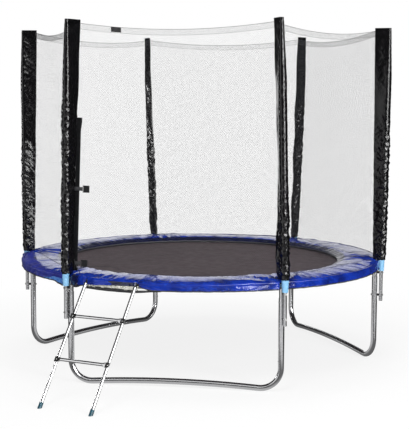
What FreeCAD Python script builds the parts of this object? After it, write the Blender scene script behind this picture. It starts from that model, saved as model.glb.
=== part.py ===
import FreeCAD
import Part
import Sketcher
import math
import os
from FreeCAD import Placement, Rotation, Vector

# Round garden trampoline with a safety enclosure and a ladder, in millimetres.
# Three W-shaped legs carry a ring of six curved tubes. Six enclosure poles are bolted
# to the legs and lean, in pairs, towards the other pole of the same leg.
# Every post is drawn at angle 0, on the +X side of the trampoline's axis, and then
# turned to its own angle. The floor is z = 0, and the nearest side is -Y.

SIZES = [
    ("axis_setback", 247.0, "trampoline axis behind the origin, along Y"),
    ("frame_radius", 1220.0, "centre line of the top rail"),
    ("rail_height", 665.0, "centre line of the top rail"),
    ("tube_radius", 19.0, "rail, leg and base tubes"),
    ("tube_wall", 1.5, "wall of all large tubes"),
    ("fit_gap", 0.3, "radial play of a spigot in its tube"),
    ("leg_half_angle", 33.0, "half the angle between the two posts of a leg"),
    ("rail_span", 60.0, "angle of one rail section"),
    ("spigot_length", 55.0, "spigot of a rail section"),
    ("end_ring_length", 8.0, "swaged ring behind a spigot"),
    ("stub_bottom", 520.0, "lower end of the stub welded under the rail"),
    ("post_top", 585.0, "upper end of a leg post"),
    ("post_bottom", 165.0, "joint between leg post and leg base"),
    ("base_spigot_top", 215.0, "upper end of the leg base's spigot"),
    ("base_bend", 130.0, "bend radius of the leg base"),
    ("base_rise", 3.9, "slope of the leg base beside its bend"),
    ("pole_circle", 1262.0, "poles' centre lines at the frame"),
    ("pole_radius", 12.5, "enclosure pole"),
    ("pole_bottom", 419.0, "lower end of the lower pole"),
    ("pole_joint", 690.0, "joint between lower and upper pole"),
    ("pole_spigot_bottom", 632.0, "lower end of the upper pole's spigot"),
    ("pole_top", 2268.0, "upper end of the upper pole"),
    ("pole_splay", 22.0, "how far a pole's top stands outwards"),
    ("pole_lean", 55.0, "how far a pole's top leans to its partner"),
    ("cap_thickness", 4.0, "plastic cap on a pole"),
    ("bolt_radius", 3.0, "pole bolts"),
    ("bolt_play", 0.3, "radial play of a bolt or screw in its hole"),
    ("bolt_low", 460.0, "lower pole bolt"),
    ("bolt_high", 615.0, "upper pole bolt"),
    ("bolt_head", 5.5, "head and nut radius, across flats"),
    ("head_height", 4.0, "bolt head and nut"),
    ("spacer_radius", 8.0, "spacer between pole and leg"),
    ("screw_radius", 2.5, "leg screws"),
    ("screw_low", 190.0, "screw of the leg base joint"),
    ("screw_high", 560.0, "screw of the rail joint"),
    ("collar_bottom", 627.0, "plastic collar of a pole"),
    ("collar_top", 707.0, "plastic collar of a pole"),
    ("collar_bottom_radius", 19.0, "plastic collar of a pole"),
    ("collar_top_radius", 23.0, "plastic collar of a pole"),
    ("sleeve_bottom", 709.0, "lower hem of a pole sleeve"),
    ("sleeve_middle", 1930.0, "height where the sleeve starts to flatten"),
    ("sleeve_top", 2276.0, "closed top of a pole sleeve"),
    ("sleeve_wall", 1.5, "sleeve fabric"),
    ("lobe_radius", 28.0, "sleeve round the foam"),
    ("fin_tip_radius", 6.0, "inner edge of the sleeve"),
    ("fin_bottom", 54.0, "pole axis to the sleeve's inner edge, at the hem"),
    ("fin_middle", 86.0, "the same, at sleeve_middle"),
    ("fin_top", 94.0, "the same, at the top"),
    ("pocket_radius", 14.5, "flat top of the sleeve, round the pole"),
    ("pocket_tip_radius", 9.0, "flat top of the sleeve, inner edge"),
    ("foam_radius", 25.0, "foam tube round the pole"),
    ("foam_play", 0.3, "foam tube's bore round the pole"),
    ("foam_bottom", 712.0, "lower end of the foam tube"),
    ("foam_top", 1900.0, "upper end of the foam tube"),
    ("net_bottom", 716.0, "lower edge of the net, on the pad"),
    ("net_corner_top", 2256.0, "upper edge of the net, at the poles"),
    ("net_sag", 42.0, "sag of the net's upper edge between poles"),
    ("net_thickness", 2.0, "mesh of the net"),
    ("net_play", 2.0, "net's side edge to the sleeve"),
    ("net_strand", 9.0, "net between two gaps"),
    ("top_hem", 35.0, "width of the net's upper hem"),
    ("bottom_hem", 25.0, "width of the net's lower hem"),
    ("hem_thickness", 3.0, "hems of the net"),
    ("mat_radius", 1000.0, "jumping mat"),
    ("mat_bottom", 657.5, "underside of the jumping mat"),
    ("mat_thickness", 3.0, "jumping mat with its sewn edge"),
    ("ring_reach", 31.0, "length of a V-ring outside the mat"),
    ("ring_width", 38.0, "V-ring along the mat's edge"),
    ("ring_wire", 4.0, "wire of a V-ring"),
    ("spring_radius", 10.0, "coil of a mat spring"),
    ("spring_hook_radius", 1.6, "hooks of a mat spring"),
    ("spring_hook_length", 14.0, "hooks of a mat spring"),
    ("spring_first_angle", 3.75, "angle of the first spring"),
    ("pad_inner", 952.5, "inner edge of the spring pad"),
    ("pad_outer", 1252.5, "outer edge of the spring pad"),
    ("pad_bottom", 664.5, "underside of the pad over the mat"),
    ("pad_coil_start", 1046.0, "radius where the pad's underside meets the springs' coils"),
    ("pad_coil_low", 671.5, "underside of the pad there"),
    ("pad_coil_end", 1190.0, "radius where it leaves the coils"),
    ("pad_coil_high", 677.5, "underside of the pad there"),
    ("pad_over_rail", 686.0, "underside of the pad over the rail"),
    ("pad_crown_radius", 1090.0, "where the pad is thickest"),
    ("pad_crown_height", 710.5, "top of the pad at its crown"),
    ("pad_slope_radius", 1010.0, "middle of the pad's inner slope"),
    ("pad_slope_height", 703.5, "top of the pad there"),
    ("pad_fall_radius", 1170.0, "middle of the pad's outer slope"),
    ("pad_fall_height", 707.5, "top of the pad there"),
    ("pad_shoulder_radius", 1236.0, "where the pad rolls over to its skirt"),
    ("pad_shoulder_height", 697.0, "top of the pad there"),
    ("pad_lip", 680.0, "lower end of the pad's outer edge"),
    ("skirt_wall", 3.0, "skirt that hangs from the pad's edge"),
    ("skirt_bottom", 640.0, "lower edge of the skirt"),
    ("pole_notch", 24.5, "notch in pad and skirt round a collar"),
    ("hook_notch", 15.0, "half width of the pad's notch at a ladder hook"),
    ("hook_pocket", 692.0, "top of the pocket under the pad for a ladder hook"),
    ("ladder_angle", -107.22, "direction in which the ladder stands out"),
    ("ladder_half_width", 174.6, "half the distance between ladder rails"),
    ("ladder_lean", 37.5, "lean of the ladder from the vertical"),
    ("ladder_offset", 32.0, "ladder tube's axis to the hinge line"),
    ("ladder_tube_radius", 9.5, "ladder rails"),
    ("ladder_tube_wall", 1.2, "ladder rails"),
    ("ladder_tube_start", 30.0, "upper end of the hook's tube, along the rail"),
    ("ladder_seam", 186.0, "seam between hook and rail, along the rail"),
    ("ladder_spigot", 72.0, "spigot of the ladder rail in the hook's tube"),
    ("hook_inner", 21.5, "ladder hook's bore over the skewed top rail"),
    ("hook_plate", 4.0, "thickness of the ladder hook"),
    ("hook_width", 18.0, "width of the ladder hook"),
    ("hook_wrap", 170.0, "angle that the hook wraps"),
    ("hook_tang", 62.0, "straight end of the hook beside its tube"),
    ("rung_radius", 10.0, "ladder rungs"),
    ("rung_high", 262.0, "upper rung, along the rail"),
    ("rung_low", 551.3, "lower rung, along the rail"),
    ("rung_flat", 3.0, "flattened end of a rung"),
    ("rung_flat_width", 32.0, "flattened end of a rung"),
    ("ladder_screw_radius", 2.5, "ladder screws"),
    ("joint_screw_high", 140.0, "upper screw of the hook joint, along the rail"),
    ("joint_screw_low", 171.0, "lower screw of the hook joint, along the rail"),
    ("ladder_foot_radius", 12.5, "foot cap"),
    ("ladder_foot_length", 35.0, "foot cap above the floor, along the rail"),
    ("ladder_foot_sole", 16.0, "rail's lower end above the floor, along the rail"),
    ("zip_width", 28.0, "zip flap of the door"),
    ("zip_thickness", 2.5, "zip flap of the door"),
    ("zip_inset", 4.5, "zip flap to the net's side edge"),
    ("zip_length", 960.0, "zip flap of the door"),
    ("zip_travel", 900.0, "travel of the zip slider"),
    ("slider_width", 9.0, "zip slider"),
    ("slider_length", 14.0, "zip slider"),
    ("slider_height", 4.0, "zip slider"),
    ("pull_length", 24.0, "pull tab of the zip slider"),
    ("buckle_width", 44.0, "side-release buckle, across the strap"),
    ("buckle_length", 32.0, "socket of the buckle, along the strap"),
    ("buckle_thickness", 9.0, "side-release buckle"),
    ("buckle_wall", 2.0, "wall of the buckle's socket"),
    ("buckle_play", 0.5, "play of the prongs in the socket"),
    ("prong_length", 20.0, "prongs of the buckle's plug"),
    ("prong_width", 8.0, "prongs of the buckle's plug"),
    ("plug_shoulder", 10.0, "shoulder of the buckle's plug"),
    ("buckle_inset", 65.0, "mouth of the socket to the net's side edge"),
    ("buckle_high", 520.0, "upper buckle, along the net's side edge"),
    ("buckle_low", 52.0, "lower buckle, along the net's side edge"),
]

LEG_MIDDLES = (-90.0, 30.0, 150.0)
NET_COLUMNS = 6
NET_ROWS = 8
SPRING_COUNT = 48
SHEET = "Sizes"
UP = Vector(0, 0, 1)

doc = FreeCAD.newDocument("Trampoline")
sheet = doc.addObject("Spreadsheet::Sheet", SHEET)
for row, (alias, value, note) in enumerate(SIZES, start=1):
    sheet.set(f"A{row}", note)
    sheet.set(f"B{row}", str(value))
    sheet.setAlias(f"B{row}", alias)
doc.recompute()

nodes = []


def size(alias):
    """Return one driving dimension from the sheet."""
    return float(sheet.get(alias))


def cell(text):
    """Write an expression in which each @alias stands for a cell of the sheet."""
    return text.replace("@", SHEET + ".")


def bind(thing, **expressions):
    """Bind properties of an object to expressions over the sheet."""
    for name, text in expressions.items():
        thing.setExpression(name, cell(text))
    return thing


def turned(angle, x=0.0, y=0.0, z=0.0):
    """Placement that turns a piece about the trampoline's axis, after a shift."""
    turn = Placement(Vector(0, 0, 0), Rotation(UP, angle))
    return turn.multiply(Placement(Vector(x, y, z), Rotation()))


def node(label, thing, placement=None):
    """Name a finished sub-part and set it in the shared frame."""
    setback = Placement(Vector(0, size("axis_setback"), 0), Rotation())
    thing.Label = label
    own = placement if placement is not None else Placement()
    thing.Placement = setback.multiply(own)
    nodes.append(thing)
    return thing


def shaped(label, shape, placement=None):
    """Make a sub-part from a shape that was worked out from the sheet."""
    feature = doc.addObject("Part::Feature", label)
    feature.Shape = shape
    return node(label, feature, placement)


def cylinder(name, radius, height, place):
    """Part cylinder whose radius and height follow the sheet."""
    thing = doc.addObject("Part::Cylinder", name)
    bind(thing, Radius=radius, Height=height)
    thing.Placement = place
    return thing


def ring_section(name, circle, radius, span, start=0.0):
    """Part torus: a stretch of curved rod about the trampoline's axis."""
    thing = doc.addObject("Part::Torus", name)
    bind(thing, Radius1=circle, Radius2=radius, Angle3=span)
    thing.Placement = turned(start, z=size("rail_height"))
    return thing


def fused(name, *things):
    """Boolean union."""
    union = doc.addObject("Part::MultiFuse", name)
    union.Shapes = list(things)
    return union


def cut(name, base, tool):
    """Boolean difference."""
    difference = doc.addObject("Part::Cut", name)
    difference.Base = base
    difference.Tool = tool
    return difference


def along(start, direction):
    """Placement of a cylinder that starts at a point and runs along a direction."""
    return Placement(start, Rotation(UP, direction))


def posts():
    """Yield number, angle and lean sign of the six posts, leg by leg."""
    number = 0
    for middle in LEG_MIDDLES:
        for side in (-1, 1):
            number += 1
            yield number, middle + side * size("leg_half_angle"), -side


def origin_plane(body, role):
    """Find one of a body's own origin planes."""
    for feature in body.Origin.OriginFeatures:
        if feature.Role == role:
            return feature
    raise RuntimeError("no origin plane " + role)


def sketch_on(body, name, role, offset=None):
    """New sketch on one of the body's own origin planes."""
    sketch = body.newObject("Sketcher::SketchObject", name)
    sketch.AttachmentSupport = [(origin_plane(body, role), "")]
    sketch.MapMode = "FlatFace"
    if offset is not None:
        sketch.AttachmentOffset = offset
    return sketch


def bound_circle(sketch, x, radius):
    """Circle on the sketch's own X axis, its place and radius bound to the sheet."""
    here = sketch.evalExpression(cell(x))
    wide = sketch.evalExpression(cell(radius))
    circle = sketch.addGeometry(Part.Circle(Vector(here, 0, 0), UP, wide), False)
    on_axis = Sketcher.Constraint("PointOnObject", circle, 3, -1)
    sketch.addConstraint(on_axis)
    if abs(here) > 0:
        from_origin = sketch.addConstraint(Sketcher.Constraint("DistanceX", -1, 1, circle, 3, here))
        sketch.setExpression(f"Constraints[{from_origin}]", cell(x))
    else:
        sketch.addConstraint(Sketcher.Constraint("PointOnObject", circle, 3, -2))
    sized = sketch.addConstraint(Sketcher.Constraint("Radius", circle, wide))
    sketch.setExpression(f"Constraints[{sized}]", cell(radius))
    return circle


def tube_pad(body, name, circles, length, height):
    """Pad of annuli: circles lists the places of the tubes and their two radii."""
    sketch = sketch_on(body, name + "Sketch", "XY_Plane", Placement(Vector(0, 0, height), Rotation()))
    for x, outer, inner in circles:
        bound_circle(sketch, x, outer)
        bound_circle(sketch, x, inner)
    pad = body.newObject("PartDesign::Pad", name)
    pad.Profile = sketch
    bind(pad, Length=length)
    return pad


# Frame: six curved rail sections with welded stubs.

def top_rail(number, stub_angle, start):
    """Curved tube, swaged into a spigot at one end, with a stub for its leg post."""
    tag = f"Rail{number}"
    bore = "@tube_radius - @tube_wall"
    spigot = "@tube_radius - @tube_wall - @fit_gap"
    narrow = "@tube_radius - 2 * @tube_wall - @fit_gap"
    to_angle = " / @frame_radius * 180 / pi"
    ring = "@end_ring_length" + to_angle
    reach = "(@end_ring_length + @spigot_length)" + to_angle
    ring_angle = math.degrees(size("end_ring_length") / size("frame_radius"))
    stub = turned(stub_angle, x=size("frame_radius"), z=size("stub_bottom"))
    stub_height = "@rail_height - @stub_bottom"
    bore_height = "@rail_height - @tube_radius - 0.5 - @stub_bottom"
    span = size("rail_span")
    outside = fused(
        tag + "Outside",
        ring_section(tag + "Tube", "@frame_radius", "@tube_radius", "@rail_span - 0.02"),
        ring_section(tag + "Spigot", "@frame_radius", spigot, reach, span - ring_angle),
        cylinder(tag + "Stub", spigot, stub_height, stub),
    )
    inside = fused(
        tag + "Inside",
        ring_section(tag + "Bore", "@frame_radius", bore, "@rail_span - " + ring),
        ring_section(tag + "Throat", "@frame_radius", narrow, reach + " + 1", span - ring_angle),
        cylinder(tag + "StubBore", narrow, bore_height, stub),
    )
    holes = fused(tag + "Holes", *post_holes(tag + "Hole", stub_angle, True))
    rail = cut(tag, cut(tag + "Solid", outside, inside), holes)
    return node(f"top_rail_{number}", rail, turned(start))


def post_holes(name, angle, with_high_bolt):
    """Holes across a post: the pole's bolts and the screw of the rail joint."""
    hole = "@bolt_radius + @bolt_play"
    across = "4 * @tube_radius"
    reach = 2 * size("tube_radius")
    turn = turned(angle)
    found = []
    heights = [size("bolt_high")] if with_high_bolt else [size("bolt_low")]
    for index, height in enumerate(heights):
        start = turn.multVec(Vector(size("frame_radius") - reach, 0, height))
        direction = turn.Rotation.multVec(Vector(1, 0, 0))
        found.append(cylinder(f"{name}Bolt{index}", hole, across, along(start, direction)))
    start = turn.multVec(Vector(size("frame_radius"), 0, size("screw_high")))
    direction = turn.Rotation.multVec(Vector(0, -1, 0))
    found.append(cylinder(name + "Screw", "@screw_radius + @bolt_play", "2 * @tube_radius", along(start, direction)))
    return found


def leg_post(number, angle):
    """Straight tube between leg base and rail stub, with its holes."""
    tag = f"Post{number}"
    height = "@post_top - @post_bottom"
    place = turned(0, x=size("frame_radius"), z=size("post_bottom"))
    solid = cylinder(tag + "Tube", "@tube_radius", height, place)
    low_screw = along(Vector(size("frame_radius"), 0, size("screw_low")), Vector(0, -1, 0))
    inside = fused(
        tag + "Inside",
        cylinder(tag + "Bore", "@tube_radius - @tube_wall", height, place),
        cylinder(tag + "LowScrew", "@screw_radius + @bolt_play", "2 * @tube_radius", low_screw),
        *post_holes(tag + "Hole", 0, False),
    )
    return node(f"leg_post_{number}", cut(tag, solid, inside), turned(angle))


def leg_base(number, middle):
    """U-shaped floor tube, a little raised in the middle, with a spigot at each end."""
    body = doc.addObject("PartDesign::Body", f"Base{number}")
    half = size("frame_radius") * math.sin(math.radians(size("leg_half_angle")))
    ends = ("-@frame_radius * sin(@leg_half_angle)", "@frame_radius * sin(@leg_half_angle)")
    bend = size("base_bend")
    rise = math.radians(size("base_rise"))
    floor = size("tube_radius")
    top = size("post_bottom")
    inner = half - bend
    run = inner - bend * math.sin(rise)
    level = floor + bend * (1 - math.cos(rise))
    arch = level + run * math.tan(rise / 2)
    quarter = math.radians(225)
    path = sketch_on(body, "BasePath", "XZ_Plane")
    corner = Vector(-inner + bend * math.cos(quarter), floor + bend + bend * math.sin(quarter), 0)
    left_end = Vector(-inner + bend * math.sin(rise), level, 0)
    right_end = Vector(-left_end.x, level, 0)
    path.addGeometry(Part.LineSegment(Vector(-half, top, 0), Vector(-half, floor + bend, 0)), False)
    path.addGeometry(Part.Arc(Vector(-half, floor + bend, 0), corner, left_end), False)
    path.addGeometry(Part.Arc(left_end, Vector(0, arch, 0), right_end), False)
    corner = Vector(-corner.x, corner.y, 0)
    path.addGeometry(Part.Arc(right_end, corner, Vector(half, floor + bend, 0)), False)
    path.addGeometry(Part.LineSegment(Vector(half, floor + bend, 0), Vector(half, top, 0)), False)
    for step in range(4):
        path.addConstraint(Sketcher.Constraint("Coincident", *joined_ends(path, step)))
    start = Placement(Vector(0, 0, top), Rotation())
    profile = sketch_on(body, "BaseProfile", "XY_Plane", start)
    bound_circle(profile, ends[0], "@tube_radius")
    tube = body.newObject("PartDesign::AdditivePipe", "BaseTube")
    tube.Profile = profile
    tube.Spine = (path, [])
    bore_profile = sketch_on(body, "BaseBoreProfile", "XY_Plane", start)
    bound_circle(bore_profile, ends[0], "@tube_radius - @tube_wall")
    bore = body.newObject("PartDesign::SubtractivePipe", "BaseBore")
    bore.Profile = bore_profile
    bore.Spine = (path, [])
    spigot = "@tube_radius - @tube_wall - @fit_gap"
    narrow = "@tube_radius - 2 * @tube_wall - @fit_gap"
    ring_start = top - size("end_ring_length")
    tube_pad(body, "BaseRing", [(x, "@tube_radius", narrow) for x in ends], "@end_ring_length", ring_start)
    spigot_length = "@base_spigot_top - @post_bottom"
    tube_pad(body, "BaseSpigot", [(x, spigot, narrow) for x in ends], spigot_length, top)
    chord = size("frame_radius") * math.cos(math.radians(size("leg_half_angle")))
    holes = [base_screw_hole(body, side, middle) for side in (-1, 1)]
    doc.recompute()
    drilled = cut(f"BaseDrilled{number}", body, fused(f"BaseHoles{number}", *holes))
    return node(f"leg_base_{number}", drilled, turned(middle + 90, y=-chord))


def joined_ends(path, step):
    """The two ends that meet between one edge of a sketch and the next."""
    for first in (1, 2):
        for second in (1, 2):
            here = path.getPoint(step, first)
            if here.distanceToPoint(path.getPoint(step + 1, second)) < 1e-3:
                return step, first, step + 1, second
    raise RuntimeError("edges do not meet")


def base_screw_hole(body, side, middle):
    """Hole in a leg base's spigot, square to the post's radius."""
    half = size("frame_radius") * math.sin(math.radians(size("leg_half_angle")))
    turn = math.radians(side * size("leg_half_angle"))
    direction = Vector(-math.cos(turn), -math.sin(turn), 0)
    start = Vector(side * half, 0, size("screw_low"))
    name = f"BaseScrewHole{middle:.0f}_{side}".replace("-", "m")
    return cylinder(name, "@screw_radius + @bolt_play", "2 * @tube_radius", along(start, direction))


# Enclosure poles.

def pole_point(height):
    """Centre of an upper pole at a height, for a post at angle 0 that leans to +Y."""
    share = (height - size("pole_joint")) / (size("pole_top") - size("pole_joint"))
    return Vector(size("pole_circle") + share * size("pole_splay"), share * size("pole_lean"), height)


def lower_pole(number, angle):
    """Straight tube bolted to the leg."""
    body = doc.addObject("PartDesign::Body", f"LowerPole{number}")
    ring = [("0", "@pole_radius", "@pole_radius - @tube_wall")]
    tube_pad(body, "LowerPoleTube", ring, "@pole_joint - @pole_bottom", 0)
    holes = []
    for index, height in enumerate((size("bolt_low"), size("bolt_high"))):
        start = Vector(-2 * size("pole_radius"), 0, height - size("pole_bottom"))
        place = along(start, Vector(1, 0, 0))
        name = f"LowerPoleHole{number}_{index}"
        holes.append(cylinder(name, "@bolt_radius + @bolt_play", "4 * @pole_radius", place))
    drilled = cut(f"LowerPoleDrilled{number}", body, fused(f"LowerPoleHoles{number}", *holes))
    place = turned(angle, x=size("pole_circle"), z=size("pole_bottom"))
    return node(f"lower_pole_{number}", drilled, place)


def upper_pole(number, angle, lean):
    """Leaning tube with a short upright spigot that drops into the lower pole."""
    tag = f"UpperPole{number}"
    foot = pole_point(size("pole_joint") + 1)
    top = pole_point(size("pole_top"))
    axis = Vector(top.x - foot.x, lean * (top.y - foot.y), top.z - foot.z)
    foot = Vector(foot.x, lean * foot.y, foot.z)
    base = Vector(size("pole_circle"), 0, size("pole_spigot_bottom"))
    spigot = "@pole_radius - @tube_wall - @fit_gap"
    narrow = "@pole_radius - 2 * @tube_wall - @fit_gap"
    insert = "@pole_joint + 6 - @pole_spigot_bottom"
    bore_start = foot + axis * (5 / axis.Length)
    solid = fused(
        tag + "Outside",
        cylinder(tag + "Tube", "@pole_radius", str(axis.Length), along(foot, axis)),
        cylinder(tag + "Spigot", spigot, insert, Placement(base, Rotation())),
    )
    bore = fused(
        tag + "Inside",
        cylinder(tag + "Bore", "@pole_radius - @tube_wall", str(axis.Length), along(bore_start, axis)),
        cylinder(tag + "Throat", narrow, insert + " + 2", Placement(base, Rotation())),
    )
    return node(f"upper_pole_{number}", cut(tag, solid, bore), turned(angle))


def teardrop(height, lean, lobe, tip, fin, inset):
    """Closed outline of a sleeve at a height: a round lobe that narrows inwards."""
    lobe = lobe - inset
    tip = tip - inset
    centre = pole_point(max(height, size("pole_joint")))
    centre = Vector(centre.x, lean * centre.y, height)
    reach = fin - inset - tip
    tilt = math.asin((lobe - tip) / reach)

    def on(radius, x, angle):
        return centre + Vector(x + radius * math.cos(angle), radius * math.sin(angle), 0)

    upper = math.pi / 2 + tilt
    a = on(lobe, 0, upper)
    b = on(lobe, 0, 0)
    c = on(lobe, 0, -upper)
    d = on(tip, -reach, -upper)
    e = on(tip, -reach, math.pi)
    f = on(tip, -reach, upper)
    edges = [
        Part.Arc(a, on(lobe, 0, upper / 2), b).toShape(),
        Part.Arc(b, on(lobe, 0, -upper / 2), c).toShape(),
        Part.LineSegment(c, d).toShape(),
        Part.Arc(d, e, f).toShape(),
        Part.LineSegment(f, a).toShape(),
    ]
    return Part.Wire(edges)


def sleeve_solid(lean, inset, bottom, top):
    """Solid loft through three outlines of the sleeve."""
    lobe = size("lobe_radius")
    tip = size("fin_tip_radius")
    low = teardrop(bottom, lean, lobe, tip, size("fin_bottom"), inset)
    middle = teardrop(size("sleeve_middle"), lean, lobe, tip, size("fin_middle"), inset)
    pocket = size("pocket_radius")
    high = teardrop(top, lean, pocket, size("pocket_tip_radius"), size("fin_top"), inset)
    return Part.makeLoft([low, middle, high], True, True)


def pole_sleeve(number, angle, lean):
    """Fabric sleeve: round over the foam, flat over the bare pole, closed on top."""
    outside = sleeve_solid(lean, 0, size("sleeve_bottom"), size("sleeve_top"))
    wall = size("sleeve_wall")
    inside = sleeve_solid(lean, wall, size("sleeve_bottom"), size("sleeve_top") - wall)
    return shaped(f"pole_sleeve_{number}", outside.cut(inside), turned(angle))


def pole_foam(lean):
    """Foam tube round one pole, for a post at angle 0."""
    low = pole_point(size("foam_bottom"))
    high = pole_point(size("foam_top"))
    low.y *= lean
    high.y *= lean
    axis = high - low
    outside = Part.makeCylinder(size("foam_radius"), axis.Length, low, axis)
    bore = Part.makeCylinder(size("pole_radius") + size("foam_play"), axis.Length, low, axis)
    return outside.cut(bore)


def pole_cap(lean):
    """Plastic cap on top of one pole."""
    top = pole_point(size("pole_top") + 1)
    place = Vector(top.x, lean * top.y, size("pole_top") + 0.8)
    return Part.makeCylinder(size("pole_radius") - 0.4, size("cap_thickness"), place)


def pole_collar():
    """Tapered plastic collar over the joint of one pole."""
    height = size("collar_top") - size("collar_bottom")
    place = Vector(size("pole_circle"), 0, size("collar_bottom"))
    cone = Part.makeCone(size("collar_bottom_radius"), size("collar_top_radius"), height, place)
    low_bore = Part.makeCylinder(size("pole_radius") + 0.2, height, place)
    upper = size("pole_joint") - 2
    relief_place = Vector(size("pole_circle"), 0, upper)
    relief = Part.makeCylinder(size("pole_radius") + 1.4, size("collar_top") - upper, relief_place)
    return cone.cut(low_bore).cut(relief)


def hexagon(radius, height, start, direction):
    """Hexagonal prism, radius across flats, from a point along a direction."""
    corner = radius / math.cos(math.radians(30))
    points = []
    for step in range(7):
        angle = math.radians(60 * step)
        points.append(Vector(corner * math.cos(angle), corner * math.sin(angle), 0))
    prism = Part.Face(Part.makePolygon(points)).extrude(Vector(0, 0, height))
    prism.Placement = along(start, direction)
    return prism


def pole_bolt(height):
    """Hexagon bolt through pole, spacer and post."""
    outside = size("pole_circle") + size("pole_radius")
    length = outside - size("frame_radius") + size("tube_radius") + size("head_height") + 3
    start = Vector(outside + 0.1, 0, height)
    inward = Vector(-1, 0, 0)
    shank = Part.makeCylinder(size("bolt_radius"), length, start, inward)
    head = hexagon(size("bolt_head"), size("head_height"), start, Vector(1, 0, 0))
    return shank.fuse(head).removeSplitter()


def pole_nut(height):
    """Nut on the inner side of the post."""
    start = Vector(size("frame_radius") - size("tube_radius") - 0.1, 0, height)
    inward = Vector(-1, 0, 0)
    nut = hexagon(size("bolt_head"), size("head_height"), start, inward)
    bore = Part.makeCylinder(size("bolt_radius") + 0.02, size("head_height"), start, inward)
    return nut.cut(bore)


def pole_spacer(height):
    """Spacer with saddle ends between pole and post."""
    start = Vector(size("frame_radius"), 0, height)
    outward = Vector(1, 0, 0)
    length = size("pole_circle") - size("frame_radius")
    block = Part.makeCylinder(size("spacer_radius"), length, start, outward)
    hole = Part.makeCylinder(size("bolt_radius") + size("bolt_play"), length, start, outward)
    low = height - 2 * size("spacer_radius")
    tall = 4 * size("spacer_radius")
    post = size("tube_radius")
    if height > size("post_top"):
        post = size("tube_radius") - size("tube_wall") - size("fit_gap")
    saddle = Part.makeCylinder(post + 0.1, tall, Vector(size("frame_radius"), 0, low))
    other = Part.makeCylinder(size("pole_radius") + 0.1, tall, Vector(size("pole_circle"), 0, low))
    return block.cut(hole).cut(saddle).cut(other)


def pan_screw(radius, length, start, direction):
    """Screw with a pan head: start lies under the head, direction points outwards."""
    shank = Part.makeCylinder(radius, length, start, direction * -1)
    head = Part.makeCylinder(2 * radius, radius, start, direction)
    edges = [edge for edge in head.Edges if edge.Closed]
    rim = max(edges, key=lambda edge: edge.CenterOfMass.dot(direction))
    head = head.makeFillet(0.6 * radius, [rim])
    return head.fuse(shank).removeSplitter()


def leg_screw(height):
    """Screw in the side of a post."""
    outward = Vector(0, -1, 0)
    start = Vector(size("frame_radius"), -size("tube_radius") - 0.1, height)
    return pan_screw(size("screw_radius"), 8, start, outward)


def grouped(label, pieces):
    """One node for pieces of a kind, which stay separate solids."""
    return shaped(label, Part.makeCompound(pieces))


def at_posts(make):
    """Copies of a piece at all six posts; make gets the post's lean."""
    pieces = []
    for _, angle, lean in posts():
        for piece in make(lean):
            piece.Placement = turned(angle).multiply(piece.Placement)
            pieces.append(piece)
    return pieces


# Safety net: six flat panels between the sleeves.

def net_corner(height, half_angle, towards):
    """Net's corner point beside a pole; towards is 1 if the pole leans to the panel."""
    if height < size("pole_joint") + 1:
        raise ValueError("the net starts above the joint")
    bottom = size("net_bottom")
    share = (height - bottom) / (size("net_corner_top") - bottom)
    low = size("pole_circle") - size("fin_bottom") - size("net_play")
    high = size("pole_circle") + size("pole_splay") - size("fin_top") - size("net_play")
    radius = low + share * (high - low)
    lean = towards * share * size("pole_lean")
    turn = math.radians(half_angle)
    across = radius * math.sin(turn) - lean * math.cos(turn)
    outwards = radius * math.cos(turn) + lean * math.sin(turn)
    return across, outwards


def net_panel_frame(half_angle, towards):
    """Widths and height of a panel, and its placement for a panel that faces -Y."""
    low, low_out = net_corner(size("net_bottom"), half_angle, towards)
    high, high_out = net_corner(size("net_corner_top"), half_angle, towards)
    rise = Vector(0, low_out - high_out, size("net_corner_top") - size("net_bottom"))
    height = rise.Length
    tilt = math.degrees(math.atan2(-rise.y, rise.z))
    place = Placement(Vector(0, -low_out, size("net_bottom")), Rotation(Vector(1, 0, 0), 90 + tilt))
    return low, high, height, place


def net_panels():
    """Yield turn angle and frame of the six panels."""
    half = size("leg_half_angle")
    for middle in LEG_MIDDLES:
        yield middle + 90, net_panel_frame(half, 1)
        yield middle + 150, net_panel_frame(60 - half, -1)


def sagging(across, high, height):
    """Height of the net's upper edge at a place across the panel."""
    return height - size("net_sag") * (1 - (across / high) ** 2)


def panel_band(low, high, height, below, above):
    """Outline of a band of the panel; below and above give heights at a place across."""
    def edge_x(level):
        return low + (high - low) * level / height - 1

    left_low = below(edge_x(height))
    left_high = above(edge_x(height))
    a = Vector(-edge_x(left_low), left_low, 0)
    b = Vector(edge_x(left_low), left_low, 0)
    c = Vector(edge_x(left_high), left_high, 0)
    d = Vector(-edge_x(left_high), left_high, 0)
    edges = [
        band_edge(a, below(0), b),
        Part.LineSegment(b, c).toShape(),
        band_edge(c, above(0), d),
        Part.LineSegment(d, a).toShape(),
    ]
    return Part.Wire(edges)


def band_edge(start, middle_height, end):
    """Lower or upper edge of a band: straight, or an arc if it sags."""
    if abs(middle_height - start.y) < 1e-6:
        return Part.LineSegment(start, end).toShape()
    return Part.Arc(start, Vector(0, middle_height, 0), end).toShape()


def thick(outline, holes, thickness):
    """Flat piece of a thickness, centred on its plane."""
    face = Part.makeFace([outline] + holes, "Part::FaceMakerBullseye")
    face.translate(Vector(0, 0, -thickness / 2))
    return face.extrude(Vector(0, 0, thickness))


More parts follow.
